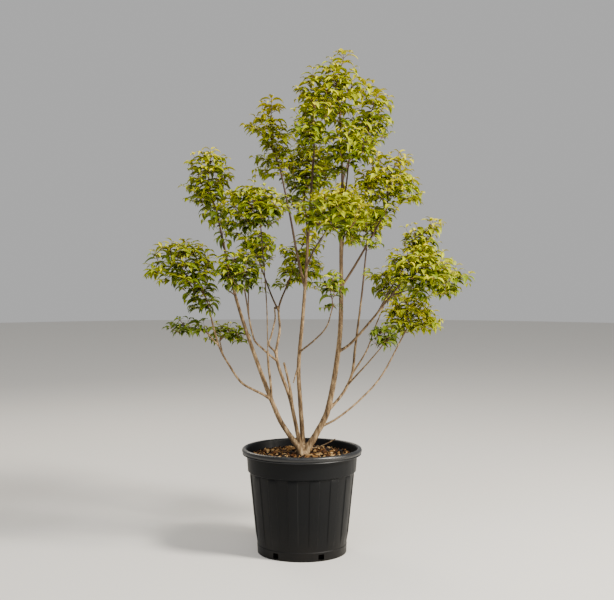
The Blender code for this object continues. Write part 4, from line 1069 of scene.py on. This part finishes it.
# %% Table of lobes
LOBES = {                     # the middle and the reach of each lobe, the topmost first
    "top_spray": (
        (0.172, 0.03, 2.032, 0.060, 0.06, 0.057), (0.112, 0.03, 2.020, 0.040, 0.05, 0.036),
        (0.120, 0.01, 1.965, 0.125, 0.10, 0.075), (0.240, 0.06, 1.905, 0.045, 0.07, 0.045),
        (0.277, 0.07, 1.945, 0.034, 0.05, 0.038), (0.005, 0.02, 1.918, 0.037, 0.08, 0.035),
        (0.115, 0.02, 1.880, 0.145, 0.15, 0.090), (0.145, 0.00, 1.770, 0.050, 0.09, 0.065)),
    "top_right_spray": (
        (0.315, 0.13, 1.870, 0.070, 0.09, 0.070), (0.275, 0.15, 1.780, 0.115, 0.12, 0.095),
        (0.292, 0.10, 1.655, 0.036, 0.07, 0.032)),
    "top_left_spray": (
        (0.050, -0.10, 1.820, 0.090, 0.09, 0.060), (0.030, -0.13, 1.735, 0.090, 0.12, 0.085)),
    "high_left_spray": (
        (-0.130, 0.12, 1.865, 0.065, 0.07, 0.045), (-0.155, 0.13, 1.783, 0.102, 0.11, 0.048),
        (-0.105, 0.14, 1.715, 0.075, 0.10, 0.065), (-0.175, 0.12, 1.650, 0.045, 0.07, 0.030),
        (-0.100, 0.14, 1.620, 0.085, 0.12, 0.070), (-0.172, 0.12, 1.588, 0.042, 0.07, 0.035)),
    "high_right_spray": (
        (0.185, -0.19, 1.670, 0.125, 0.12, 0.090), (0.140, -0.16, 1.580, 0.050, 0.08, 0.035),
        (0.222, -0.16, 1.590, 0.036, 0.06, 0.028)),
    "upper_left_spray": (
        (-0.380, 0.05, 1.645, 0.080, 0.08, 0.045), (-0.380, 0.06, 1.575, 0.095, 0.11, 0.065),
        (-0.405, 0.06, 1.505, 0.110, 0.12, 0.060), (-0.450, 0.05, 1.628, 0.038, 0.07, 0.031),
        (-0.475, 0.06, 1.514, 0.036, 0.06, 0.026), (-0.365, 0.07, 1.410, 0.066, 0.10, 0.065),
        (-0.325, 0.03, 1.305, 0.035, 0.06, 0.045)),
    "right_spray": (
        (0.390, -0.12, 1.620, 0.065, 0.08, 0.050), (0.305, -0.10, 1.610, 0.055, 0.09, 0.045),
        (0.335, -0.10, 1.535, 0.135, 0.14, 0.085), (0.430, -0.07, 1.485, 0.065, 0.09, 0.055),
        (0.445, -0.14, 1.478, 0.050, 0.08, 0.042), (0.320, -0.09, 1.430, 0.075, 0.11, 0.065),
        (0.290, -0.10, 1.295, 0.030, 0.05, 0.025)),
    "centre_back_spray": (
        (0.020, 0.24, 1.600, 0.130, 0.14, 0.130), (-0.040, 0.22, 1.450, 0.055, 0.10, 0.065),
        (-0.005, 0.22, 1.365, 0.030, 0.06, 0.036)),
    "left_front_spray": (
        (-0.185, -0.24, 1.440, 0.145, 0.15, 0.095), (-0.280, -0.22, 1.370, 0.050, 0.09, 0.040),
        (-0.258, -0.22, 1.338, 0.054, 0.09, 0.042)),
    "centre_front_spray": (
        (0.120, -0.34, 1.408, 0.155, 0.15, 0.092), (0.193, -0.30, 1.295, 0.036, 0.07, 0.026),
        (0.248, -0.26, 1.306, 0.031, 0.07, 0.026)),
    "right_back_spray": (
        (0.275, 0.24, 1.380, 0.115, 0.13, 0.065), (0.310, 0.22, 1.290, 0.040, 0.08, 0.035),
        (0.205, 0.24, 1.315, 0.045, 0.08, 0.045)),
    "left_back_spray": (
        (-0.195, 0.30, 1.265, 0.090, 0.13, 0.095), (-0.155, 0.28, 1.292, 0.045, 0.09, 0.045),
        (-0.104, 0.28, 1.245, 0.062, 0.09, 0.050), (-0.176, 0.25, 1.082, 0.032, 0.06, 0.028)),
    "centre_low_spray": (
        (0.030, 0.29, 1.290, 0.060, 0.09, 0.080), (0.000, 0.27, 1.180, 0.105, 0.14, 0.085),
        (-0.100, 0.26, 1.112, 0.045, 0.07, 0.032), (0.058, 0.28, 1.090, 0.030, 0.06, 0.031),
        (-0.070, 0.28, 1.258, 0.050, 0.08, 0.030), (0.086, 0.27, 1.300, 0.028, 0.06, 0.036)),
    "far_right_top_spray": (
        (0.552, 0.12, 1.355, 0.050, 0.06, 0.040), (0.495, 0.12, 1.335, 0.085, 0.07, 0.040),
        (0.495, 0.10, 1.285, 0.085, 0.11, 0.060)),
    "right_side_spray": (
        (0.485, -0.12, 1.185, 0.140, 0.14, 0.105), (0.380, -0.08, 1.240, 0.045, 0.08, 0.035),
        (0.290, -0.06, 1.163, 0.042, 0.06, 0.024), (0.485, -0.12, 1.085, 0.062, 0.10, 0.036)),
    "far_left_spray": (
        (-0.485, -0.16, 1.245, 0.135, 0.13, 0.060), (-0.570, -0.18, 1.180, 0.065, 0.09, 0.055),
        (-0.365, -0.15, 1.210, 0.050, 0.09, 0.045), (-0.440, -0.15, 1.155, 0.090, 0.14, 0.070),
        (-0.400, -0.13, 1.055, 0.070, 0.09, 0.065), (-0.380, -0.13, 1.020, 0.042, 0.07, 0.032)),
    "far_right_spray": (
        (0.600, 0.06, 1.150, 0.085, 0.10, 0.060), (0.680, 0.05, 1.140, 0.045, 0.07, 0.032),
        (0.600, 0.06, 1.092, 0.075, 0.09, 0.036)),
    "low_centre_spray": (
        (0.125, -0.32, 1.130, 0.055, 0.09, 0.055), (0.090, -0.28, 1.043, 0.024, 0.05, 0.022),
        (0.138, -0.28, 1.038, 0.024, 0.05, 0.024)),
    "right_inner_spray": (
        (0.395, 0.34, 1.100, 0.085, 0.12, 0.095), (0.300, 0.33, 1.150, 0.035, 0.06, 0.030)),
    "low_right_spray": (
        (0.455, 0.20, 0.980, 0.120, 0.13, 0.095), (0.560, 0.18, 0.950, 0.055, 0.09, 0.050)),
    "lower_right_spray": (
        (0.326, -0.22, 0.922, 0.062, 0.10, 0.054),),
    "low_left_spray": (
        (-0.455, -0.20, 0.955, 0.095, 0.09, 0.040),),
    "low_inner_spray": (
        (-0.310, 0.03, 0.915, 0.085, 0.10, 0.045), (-0.262, 0.03, 0.888, 0.045, 0.07, 0.030),
        (-0.362, 0.01, 0.930, 0.046, 0.08, 0.033), (-0.366, -0.03, 0.890, 0.030, 0.05, 0.022)),
}
print(sum(map(len, LOBES.values())), "lobes in", len(LOBES), "of the masses")

# %% The space of a spray
WALL_GAP = 0.0015


class Space:
    """An egg-shaped space or its lobes, walled off from the spaces of the other sprays."""

    def __init__(self, spray):
        self.centre = Vector(spray.centre)
        self.reach = Vector(spray.reach)
        self.size = sum(spray.reach) / 3.0
        listed = [(Vector(lobe[:3]), Vector(lobe[3:])) for lobe in LOBES.get(spray.name, ())]
        self.lobes = listed or [(self.centre, self.reach)]
        self.walls = []

    def add_wall(self, other):
        """A plane between two spaces, nearer to the smaller one."""
        apart = other.centre - self.centre
        middle = (other.centre.length_squared - self.centre.length_squared
                  - other.size ** 2 + self.size ** 2) / (2.0 * apart.length)
        self.walls.append((apart.normalized(), middle - WALL_GAP / 2.0))

    def meets(self, other):
        """Whether a lobe of one space reaches into a lobe of the other."""
        return any(sum(((a - b)[i] / (m[i] + n[i])) ** 2 for i in range(3)) < 1.0
                   for a, m in self.lobes for b, n in other.lobes)

    def holds(self, place, margin=0.0):
        """Whether a point is in a lobe that is grown by a margin, and inside the walls."""
        for centre, reach in self.lobes:
            offset = place - centre
            if sum((offset[i] / (reach[i] + margin)) ** 2 for i in range(3)) <= 1.0:
                return all(place.dot(normal) <= limit for normal, limit in self.walls)
        return False

    def way_out(self, start, heading, step=0.004):
        """How far one can go from a point before leaving the space."""
        distance = 0.0
        while distance < 1.0 and self.holds(start + heading * (distance + step)):
            distance += step
        return distance

    def height(self, place):
        """From -1 at the foot of the space to 1 at its top."""
        return (place.z - self.centre.z) / self.reach.z

    def place_within(self, rng):
        """A point somewhere in a lobe."""
        centre, reach = rng.choices(self.lobes, [r.x * r.y * r.z for c, r in self.lobes])[0]
        while True:
            offset = Vector([rng.uniform(-1.0, 1.0) for axis in range(3)])
            if offset.length_squared <= 1.0:
                return centre + offset * reach


spaces = {spray.name: Space(spray) for spray in SPRAYS}
for name, space in spaces.items():
    for other_name, other in spaces.items():
        if other_name != name and space.meets(other):
            space.add_wall(other)
print("walls of each space:", [len(space.walls) for space in spaces.values()])

# %% [markdown]
# ## Growing stems and twigs
#
# The rule is the construction model's: one stem runs on from the limb's tip, past the
# middle of the space to just inside its far side, and carries pairs of twigs, each pair
# turned a quarter from the last. Here the rule is carried on with shoots of a third order.
# Targets are scattered through the space, never closer than a given spacing, and a shoot
# grows to each from the nearest wood. That fills every part of a space evenly, as real
# shoots do when they compete for light.

# %% The stem and its twigs
STEM_LEAD = 0.006
STEM_REACH = 0.78             # share of the way out that a stem without lobes goes
STEM_TOP = 0.60               # share of the top lobe's height that a stem climbs
STEM_STEP = 0.020
TWIG_SPACING = 0.054
TWIG_STAGGER = 0.0085
TWIG_ANGLE = math.radians(56.0)
LONGEST_TWIG = 0.150
SHORTEST_TWIG = 0.030
LEAF_ROOM = 0.050             # kept free past a twig's end
BENT_TWIG = 0.35              # how much a twig has turned upwards by its end
TWIG_STEP = 0.012
TWIG_SCATTER = 0.3            # how far a twig strays from its quarter turn, in radians
STEM_LEAN = (0.75, 0.35)      # how much a stem heads for the middle, and for the sky
FIRST_PULL, LAST_PULL = 0.38, 0.34  # how firmly a line keeps its headings at its two ends


def along(line, distance):
    """The point and the heading at a distance along a line."""
    lengths = running_lengths(line)
    for i in range(len(line) - 1):
        if distance <= lengths[i + 1] or i == len(line) - 2:
            span = lengths[i + 1] - lengths[i]
            place = line[i].lerp(line[i + 1], (distance - lengths[i]) / span)
            return place, (line[i + 1] - line[i]).normalized()


def bent_line(root, root_way, end, end_way, step):
    """A smooth line from a root to an end, with given headings at both."""
    span = (end - root).length
    count = max(3, round(span / step) + 1)
    return interpolate_bezier(root, root + root_way * span * FIRST_PULL,
                              end - end_way * span * LAST_PULL, end, count)


def spray_lines(space, foot, heading, rng):
    """The stem of a spray and its twigs."""
    inward = (space.centre - foot).normalized()
    lean = (inward * STEM_LEAN[0] + UP * STEM_LEAN[1]).normalized()
    middle = space.centre
    top_centre, top_reach = space.lobes[0]
    if len(space.lobes) > 1:
        end = top_centre + UP * top_reach.z * STEM_TOP
    else:
        end = middle + lean * space.way_out(middle, lean) * STEM_REACH
    start = foot + heading * STEM_LEAD
    rise = (end - start).normalized()
    lower = bent_line(start, heading, middle, rise, STEM_STEP)
    upper = bent_line(middle, rise, end, (lean + UP).normalized(), STEM_STEP)
    stem = [foot] + lower + upper[1:]
    length = running_lengths(stem)[-1]
    twigs = []
    pairs = max(2, round(length / TWIG_SPACING))
    quarter = rng.uniform(0.0, math.pi)
    for i in range(1, pairs):
        for side in (0.0, 1.0):
            root, way = along(stem, length * i / pairs + side * TWIG_STAGGER)
            across = way.orthogonal().normalized()
            turn = quarter + math.pi * (side + i / 2.0) + rng.uniform(-TWIG_SCATTER, TWIG_SCATTER)
            out = Matrix.Rotation(turn, 3, way) @ across
            twig_way = (way * math.cos(TWIG_ANGLE) + out * math.sin(TWIG_ANGLE)).normalized()
            reach = min(space.way_out(root, twig_way) - LEAF_ROOM,
                        LONGEST_TWIG * rng.uniform(0.8, 1.0))
            if reach > SHORTEST_TWIG:
                end_way = (twig_way + UP * BENT_TWIG).normalized()
                end = root + twig_way * reach
                twigs.append(bent_line(root, twig_way, end, end_way, TWIG_STEP))
    return stem, twigs


print("twigs leave their stem at", round(math.degrees(TWIG_ANGLE)), "degrees")

# %% Shoots that fill the space
TARGET_SPACING = 0.039
TARGET_MARGIN = -0.008        # targets keep this far inside a lobe, and leaves fill the rest
TARGET_TRIES = 1400
SHOOT_LENGTHS = (0.018, 0.130)
SHOOT_STEP = 0.014
SHOOT_START = 0.6             # how much a shoot keeps of its wood's heading
SHOOT_RISE = (0.3, 0.9)       # how much it has turned upwards by its end
ONWARDS_EASE, UPWARDS_EASE = 0.6, 0.25  # for wood that points at the target, or lies under it


def targets_in(space, rng):
    targets = []
    for i in range(TARGET_TRIES):
        place = space.place_within(rng)
        if space.holds(place, TARGET_MARGIN) and all(
                (place - other).length > TARGET_SPACING for other in targets):
            targets.append(place)
    return targets


def points_on(line):
    return [(line[i], (line[i + 1] - line[i]).normalized()) for i in range(1, len(line) - 1)]


def shoots_in(space, lines, rng):
    """Short shoots that reach into every part of the space, each from the nearest wood."""
    wood = [item for line in lines for item in points_on(line)]
    targets = targets_in(space, rng)
    targets.sort(key=lambda place: min((place - root).length for root, way in wood))
    shoots = []
    for target in targets:
        def cost(item):
            root, way = item
            straight = target - root
            heading = straight.normalized()
            return straight.length * (1.6 - ONWARDS_EASE * way.dot(heading)
                                      - UPWARDS_EASE * heading.z)
        root, way = min(wood, key=cost)
        reach = (target - root).length
        if not SHOOT_LENGTHS[0] < reach < SHOOT_LENGTHS[1]:
            continue
        straight = (target - root) / reach
        shoot = bent_line(root, (way * SHOOT_START + straight).normalized(), target,
                          (straight + UP * rng.uniform(*SHOOT_RISE)).normalized(), SHOOT_STEP)
        shoots.append(shoot)
        wood += points_on(shoot) + [(target, straight)]
    return shoots


print("shoots keep", round(TARGET_SPACING * 1000.0), "mm apart")

# %% [markdown]
# ## Where leaves sit
# Leaves stand in opposite pairs. On an upright shoot each pair is turned a quarter from the
# last, and on a level one the stalks twist until the pairs lie flat. A leaf sets off
# outwards and a little upwards, with its upper side to the sky, and then arches over under
# its own weight. It is longest halfway along a shoot and smaller at the tip. A leaf that
# would leave the space or run into a limb is shortened, and skipped if that fails. How much
# a leaf glows, from deep green to gold, is summed from its places on the shoot and in the
# mass, from the mass's youth and from its shade, with a little chance. The place on the
# shoot gives the real yellow of young growth; the places high and outside in the mass give
# partly young growth and partly painted light, and the mass's own shift and its shade give
# partly older leaves and partly painted shade and light.

# %% Seats of the leaves
Leaf = namedtuple("Leaf", "root heading face length width arch fold tint")
LEAF_LENGTH = 0.057
LEAF_WIDTH = 0.0270
LEAF_SPACING = 0.026          # between pairs of leaves
LEADER_SPACING = 0.040        # and the same on a spray's own stem, which shows between them
SHADE_REACH = 0.26            # a mass shades those below it that are no further out than this
SHADE_FROM = 0.08             # and stand at least this much lower
# Leaves under other masses take darker tints: partly the deeper green of shade leaves, partly
# painted shade.
SHADE_GREENING_AND_PAINTED_SHADE = 0.18
LEAF_LIFT = (0.05, 0.50)      # how steeply a leaf sets off
LEAF_ARCH = (1.0, 1.9)        # how far it turns over by its tip, in radians
LEAF_STAGGER = 0.0015         # along the shoot, between the two leaves of a pair
TIP_INSET = 0.0005            # the last leaf's root, from the shoot's end
STALK = 0.006
FLAT_SHOOT = 0.55             # a shoot that rises less steeply than this carries its leaves flat
TIP_MARGIN = 0.014            # leaf tips may pass a lobe by this much
TINTS = 6
LIMB_MARGIN = 0.003           # a leaf's least distance from a limb
FORWARD, FORWARD_AT_TIP, FORWARD_SCATTER = 0.20, 0.45, 0.12  # a leaf's heading along its shoot
FACE_SCATTER = 0.2
TIP_SHRINK = 0.22             # how much smaller the leaves at a shoot's tip are
SHRINKS = (1.0, 0.78)         # sizes that are tried for a leaf, against its own
MIDRIB_TESTS = (0.45, 0.75, 1.0)  # where along a leaf its fit is tried
FOLDS = (0.25, 0.7)           # angle that each half is folded up by, in radians
# Tint terms: the tip term is young growth; the high and outer terms are partly young growth and
# partly painted light.
TIP_GLOW, HIGH_GLOW_AND_PAINTED_LIGHT, OUTER_GLOW_AND_PAINTED_LIGHT, BASE_GLOW, GLOW_SCATTER = 0.30, 0.52, 0.20, 0.11, 0.10
LEAF_SCATTER = 0.25           # how far a leaf strays from its quarter turn, in radians


def limb_in_the_way(places):
    for place in places:
        index, distance = wood_tree.find(place)[1:]
        if distance < wood_points[index][1] + LIMB_MARGIN:
            return True
    return False


def shade_on(space):
    """How deep a space lies in the shade of the masses above it, from 0 to 1."""
    above = [other for other in spaces.values()
             if other.centre.z > space.centre.z + SHADE_FROM
             and (other.centre.xy - space.centre.xy).length < SHADE_REACH]
    return min(1.0, len(above) / 2.0)


def arched(root, heading, face, length, arch, share):
    """The point of a leaf's midrib at a share of its length."""
    turn = arch * share
    return root + length * (heading * math.sin(turn) + face * (math.cos(turn) - 1.0)) / arch


def leaf_at(space, root, way, out, tipness, rng):
    """One leaf, or None where it doesn't fit."""
    forward = FORWARD + FORWARD_AT_TIP * tipness + rng.gauss(0.0, FORWARD_SCATTER)
    level = (Vector((out.x, out.y, out.z * 0.4)) + way * forward).normalized()
    heading = (level + UP * rng.uniform(*LEAF_LIFT)).normalized()
    face = UP + Vector((rng.gauss(0.0, FACE_SCATTER), rng.gauss(0.0, FACE_SCATTER), 0.0))
    face = (face - heading * face.dot(heading)).normalized()
    swell = math.sin(math.pi * min(1.0, 0.25 + 0.75 * tipness)) * 0.30 + 0.76
    length = LEAF_LENGTH * swell * (1.0 - TIP_SHRINK * tipness ** 2) * rng.uniform(0.85, 1.12)
    arch = rng.uniform(*LEAF_ARCH)
    base = root + heading * STALK
    for shrink in SHRINKS:
        places = [arched(base, heading, face, length * shrink, arch, share)
                  for share in MIDRIB_TESTS]
        if all(space.holds(place, TIP_MARGIN) for place in places) and not limb_in_the_way(places):
            # The tint adds painted light high and outside in the mass, and painted shade low and
            # under other masses, to the yellow of young tips.
            glow_and_painted_light = (TIP_GLOW * tipness + HIGH_GLOW_AND_PAINTED_LIGHT * (space.height(root) + 1.0) / 2.0
                    + OUTER_GLOW_AND_PAINTED_LIGHT * min(1.0, (root - space.centre).length / space.size)
                    + BASE_GLOW + space.youth + rng.gauss(0.0, GLOW_SCATTER))
            tint = int(min(TINTS - 1, max(0, glow_and_painted_light * TINTS)))
            width = LEAF_WIDTH * (length * shrink / LEAF_LENGTH) * rng.uniform(0.85, 1.1)
            fold = rng.uniform(*FOLDS)
            return Leaf(root, heading, face, length * shrink, width, arch, fold, tint)
    return None


def leaves_on(space, line, rng, first, spacing=LEAF_SPACING):
    """Pairs of leaves along a line, and a small pair and a single one at its tip."""
    length = running_lengths(line)[-1]
    pairs = max(1, round((length - first) / spacing))
    quarter = rng.uniform(0.0, math.pi)
    leaves = []
    for i in range(pairs + 1):
        distance = first + (length - first) * i / pairs
        tipness = (distance / length) ** 1.5
        for side in (0.0, 1.0):
            root, way = along(line, min(length - TIP_INSET, distance + side * LEAF_STAGGER))
            across = UP.cross(way) if abs(way.z) < 0.98 else Vector((1.0, 0.0, 0.0))
            twist = (quarter + math.pi * i / 2.0) if abs(way.z) > FLAT_SHOOT else 0.0
            turn = twist + math.pi * side + rng.gauss(0.0, LEAF_SCATTER)
            out = Matrix.Rotation(turn, 3, way) @ across.normalized()
            leaves.append(leaf_at(space, root, way, out, tipness, rng))
    return [leaf for leaf in leaves if leaf]


print("leaves are about", round(LEAF_LENGTH * 1000.0), "by", round(LEAF_WIDTH * 1000.0), "mm")

# %% Grow every spray
BARE_STEM, BARE_TWIG, BARE_SHOOT = 0.05, 0.022, 0.014  # leafless foot of each

stems, twigs, shoots, leaves = [], [], [], []
for spray in SPRAYS:
    rng = random.Random(spray.name)
    space = spaces[spray.name]
    # The mass's tint shift: its own term and the shade of masses above, partly leaf age and partly
    # painted shade.
    space.youth = YOUTH_AND_PAINTED_LIGHT.get(spray.name, 0.0) - SHADE_GREENING_AND_PAINTED_SHADE * shade_on(space)
    line, radii = limb_lines[spray.limb]
    heading = (line[-1] - line[-4]).normalized()
    stem, spray_twigs = spray_lines(space, line[-1], heading, rng)
    stems.append((stem, radii[-1]))
    spray_shoots = shoots_in(space, [stem, *spray_twigs], rng)
    twigs += spray_twigs
    shoots += spray_shoots
    leaves += leaves_on(space, stem, rng, BARE_STEM, LEADER_SPACING)
    for twig in spray_twigs:
        leaves += leaves_on(space, twig, rng, BARE_TWIG)
    for shoot in spray_shoots:
        leaves += leaves_on(space, shoot, rng, BARE_SHOOT)
print(len(stems), "stems,", len(twigs), "twigs,", len(shoots), "shoots,", len(leaves), "leaves")

# %% [markdown]
# ## Twigs as one piece
#
# All twigs are joined into one piece of slim tubes, and the leaf stalks into another. The
# stem of a spray carries on at its limb's thickness, and each order of branching is
# thinner than the last.

# %% Build the twigs and stalks
STEM_TIP = 0.0012
TWIG_RADII = (0.0019, 0.0008)
SHOOT_RADII = (0.0012, 0.0006)
STALK_RADII = (0.0007, 0.0005)
TWIG_SIDES, STALK_SIDES = 6, 3
STEM_SUNK = 0.004             # how far a spray's stem starts inside its limb
STALK_SUNK = 0.001            # how far a stalk runs into its leaf


def tapered(line, foot, tip):
    count = len(line) - 1
    return line, [foot + (tip - foot) * i / count for i in range(count + 1)]


twig_tubes = []
for stem, radius in stems:
    sunk = stem[0] - (stem[1] - stem[0]).normalized() * STEM_SUNK
    twig_tubes.append(tapered([sunk] + stem[1:], radius, STEM_TIP))
twig_tubes += [tapered(line, *TWIG_RADII) for line in twigs]
twig_tubes += [tapered(line, *SHOOT_RADII) for line in shoots]
twig_piece = tubes("twigs_and_shoots", twig_tubes, TWIG_SIDES)
twig_piece.data.shade_smooth()
stalk_piece = tubes("leaf_stalks", [
    ([leaf.root, leaf.root + leaf.heading * (STALK + STALK_SUNK)], STALK_RADII)
    for leaf in leaves], STALK_SIDES)
print("twigs and stalks:", triangles(twig_piece) + triangles(stalk_piece), "triangles")

# %% Twig finishes
shoot_skin, tree, shader = new_finish("red_brown_shoot_bark", Roughness=0.5, IOR=1.45)
place = add_node(tree, "ShaderNodeTexCoord").outputs["Object"]
mottle = add_node(tree, "ShaderNodeTexNoise", {
    "Vector": place, "Scale": per_metre(14.0), "Detail": 4.0})
tone = add_node(tree, "ShaderNodeMix", {
    "Factor": mottle.outputs["Fac"], FIRST_COLOUR: hex_colour("#3c2016"),
    SECOND_COLOUR: hex_colour("#7a5236")}, data_type="RGBA")
tree.links.new(tone.outputs[MIXED_COLOUR], shader.inputs["Base Color"])
stalk_skin = new_finish("red_leaf_stalk", Roughness=0.5, IOR=1.45,
                        Base_Color=hex_colour("#8c6a2c"))[0]
spray_names = [spray.name for spray in SPRAYS]
settle(twig_piece, shoot_skin, "bark", *spray_names)
settle(stalk_piece, stalk_skin, "leaves", *spray_names)

# %% [markdown]
# ## Leaves as curved blades
#
# A leaf is an opaque sheet in its own outline: a round base, widest a third of the way
# along, and a long drawn-out tip. Its two halves fold up from the midrib, its edges wave a
# little, and the whole blade arches over. Six rows of corners between its base and its tip
# follow that shape, and all the leaves of one tint are made at once with arrays.

# %% Leaf blades
ROWS = np.array([0.05, 0.16, 0.32, 0.50, 0.68, 0.85])
COLUMNS = np.array([-1.0, -0.55, 0.0, 0.55, 1.0])
WIDEST = 0.32                 # from its base, as a share of its length
BASE_FULLNESS, TIP_FULLNESS = 0.62, 1.3  # the lower, the fuller
WAVE, WAVES = 0.10, 9.0       # height of the waves at its edge, and radians of them to a leaf


def half_width(share):
    """Half the width of a blade along its length, one at the widest place."""
    peak = WIDEST ** BASE_FULLNESS * (1.0 - WIDEST) ** TIP_FULLNESS
    return share ** BASE_FULLNESS * (1.0 - share) ** TIP_FULLNESS / peak


def blade_faces():
    """Faces of one leaf: a fan at its base, strips of quads, and a fan at its tip."""
    across = len(COLUMNS)
    first, tip = 1, 1 + len(ROWS) * across
    faces = [(0, first + k + 1, first + k) for k in range(across - 1)]
    for i in range(len(ROWS) - 1):
        for k in range(across - 1):
            a = first + i * across + k
            faces.append((a, a + 1, a + across + 1, a + across))
    last = first + (len(ROWS) - 1) * across
    faces += [(last + k, last + k + 1, tip) for k in range(across - 1)]
    return faces


def blades(chosen, wave_rng):
    """Corners of many leaves, one row of the array for each."""
    root = np.array([leaf.root + leaf.heading * STALK for leaf in chosen])
    heading = np.array([leaf.heading for leaf in chosen])
    face = np.array([leaf.face for leaf in chosen])
    side = np.cross(heading, face)
    length, width, arch, fold = (np.array([getattr(leaf, name) for leaf in chosen])
                                 for name in ("length", "width", "arch", "fold"))
    phase = np.array([wave_rng.uniform(0.0, 2.0 * math.pi) for leaf in chosen])
    corners = np.empty((len(chosen), 2 + len(ROWS) * len(COLUMNS), 3))
    corners[:, 0] = root
    for i, share in enumerate([*ROWS, 1.0]):
        turn = (arch * share)[:, None]
        drop = face * (np.cos(turn) - 1.0)
        rib = root + length[:, None] * (heading * np.sin(turn) + drop) / arch[:, None]
        if share == 1.0:
            corners[:, -1] = rib
            continue
        lift = face * np.cos(turn) + heading * np.sin(turn)
        half = width / 2.0 * half_width(share)
        for k, column in enumerate(COLUMNS):
            wave = WAVE * np.sin(phase + share * WAVES + column) * abs(column)
            aside = side * (half * column * np.cos(fold))[:, None]
            raised = lift * (half * (abs(column) * np.sin(fold) + wave))[:, None]
            corners[:, 1 + i * len(COLUMNS) + k] = rib + aside + raised
    return corners


print("a leaf has", sum(len(face) - 2 for face in blade_faces()), "triangles")

# %% [markdown]
# ## Leaf tints
#
# Old leaves inside the crown are deep green and the newest at the shoot tips are yellow to
# gold. Each leaf was given a tint by how much it glows, and each tint is a piece with a
# plain base colour of its own. Part of that spread is painted light and shade: leaves high
# and outside in a mass take lighter tints, and those inside, low down or under other
# masses take darker ones. The cuticle is waxy: a low, tight sheen over a soft body.

# %% Leaf pieces
LEAF_TINTS = (("deep", "#55630f"), ("green", "#70800e"), ("olive", "#8b920b"),
              ("fresh", "#a0a60b"), ("lime", "#b4b00b"), ("gold", "#bab00c"))

wave_rng = random.Random(7)
shape_faces = np.array(blade_faces(), dtype=object)
for tint, (word, colour) in enumerate(LEAF_TINTS):
    chosen = [leaf for leaf in leaves if leaf.tint == tint]
    corners = blades(chosen, wave_rng)
    each = corners.shape[1]
    faces = [tuple(index + k * each for index in face)
             for k in range(len(chosen)) for face in shape_faces]
    piece = mesh_piece(f"leaves_{word}", corners.reshape(-1, 3).tolist(), faces)
    piece.data.shade_smooth()
    material = new_finish(f"waxy_leaf_{word}", Roughness=0.50, IOR=1.45, Specular_IOR_Level=0.19,
                          Base_Color=hex_colour(colour))[0]
    settle(piece, material, "leaves", *spray_names)
    print(len(chosen), word, "leaves")
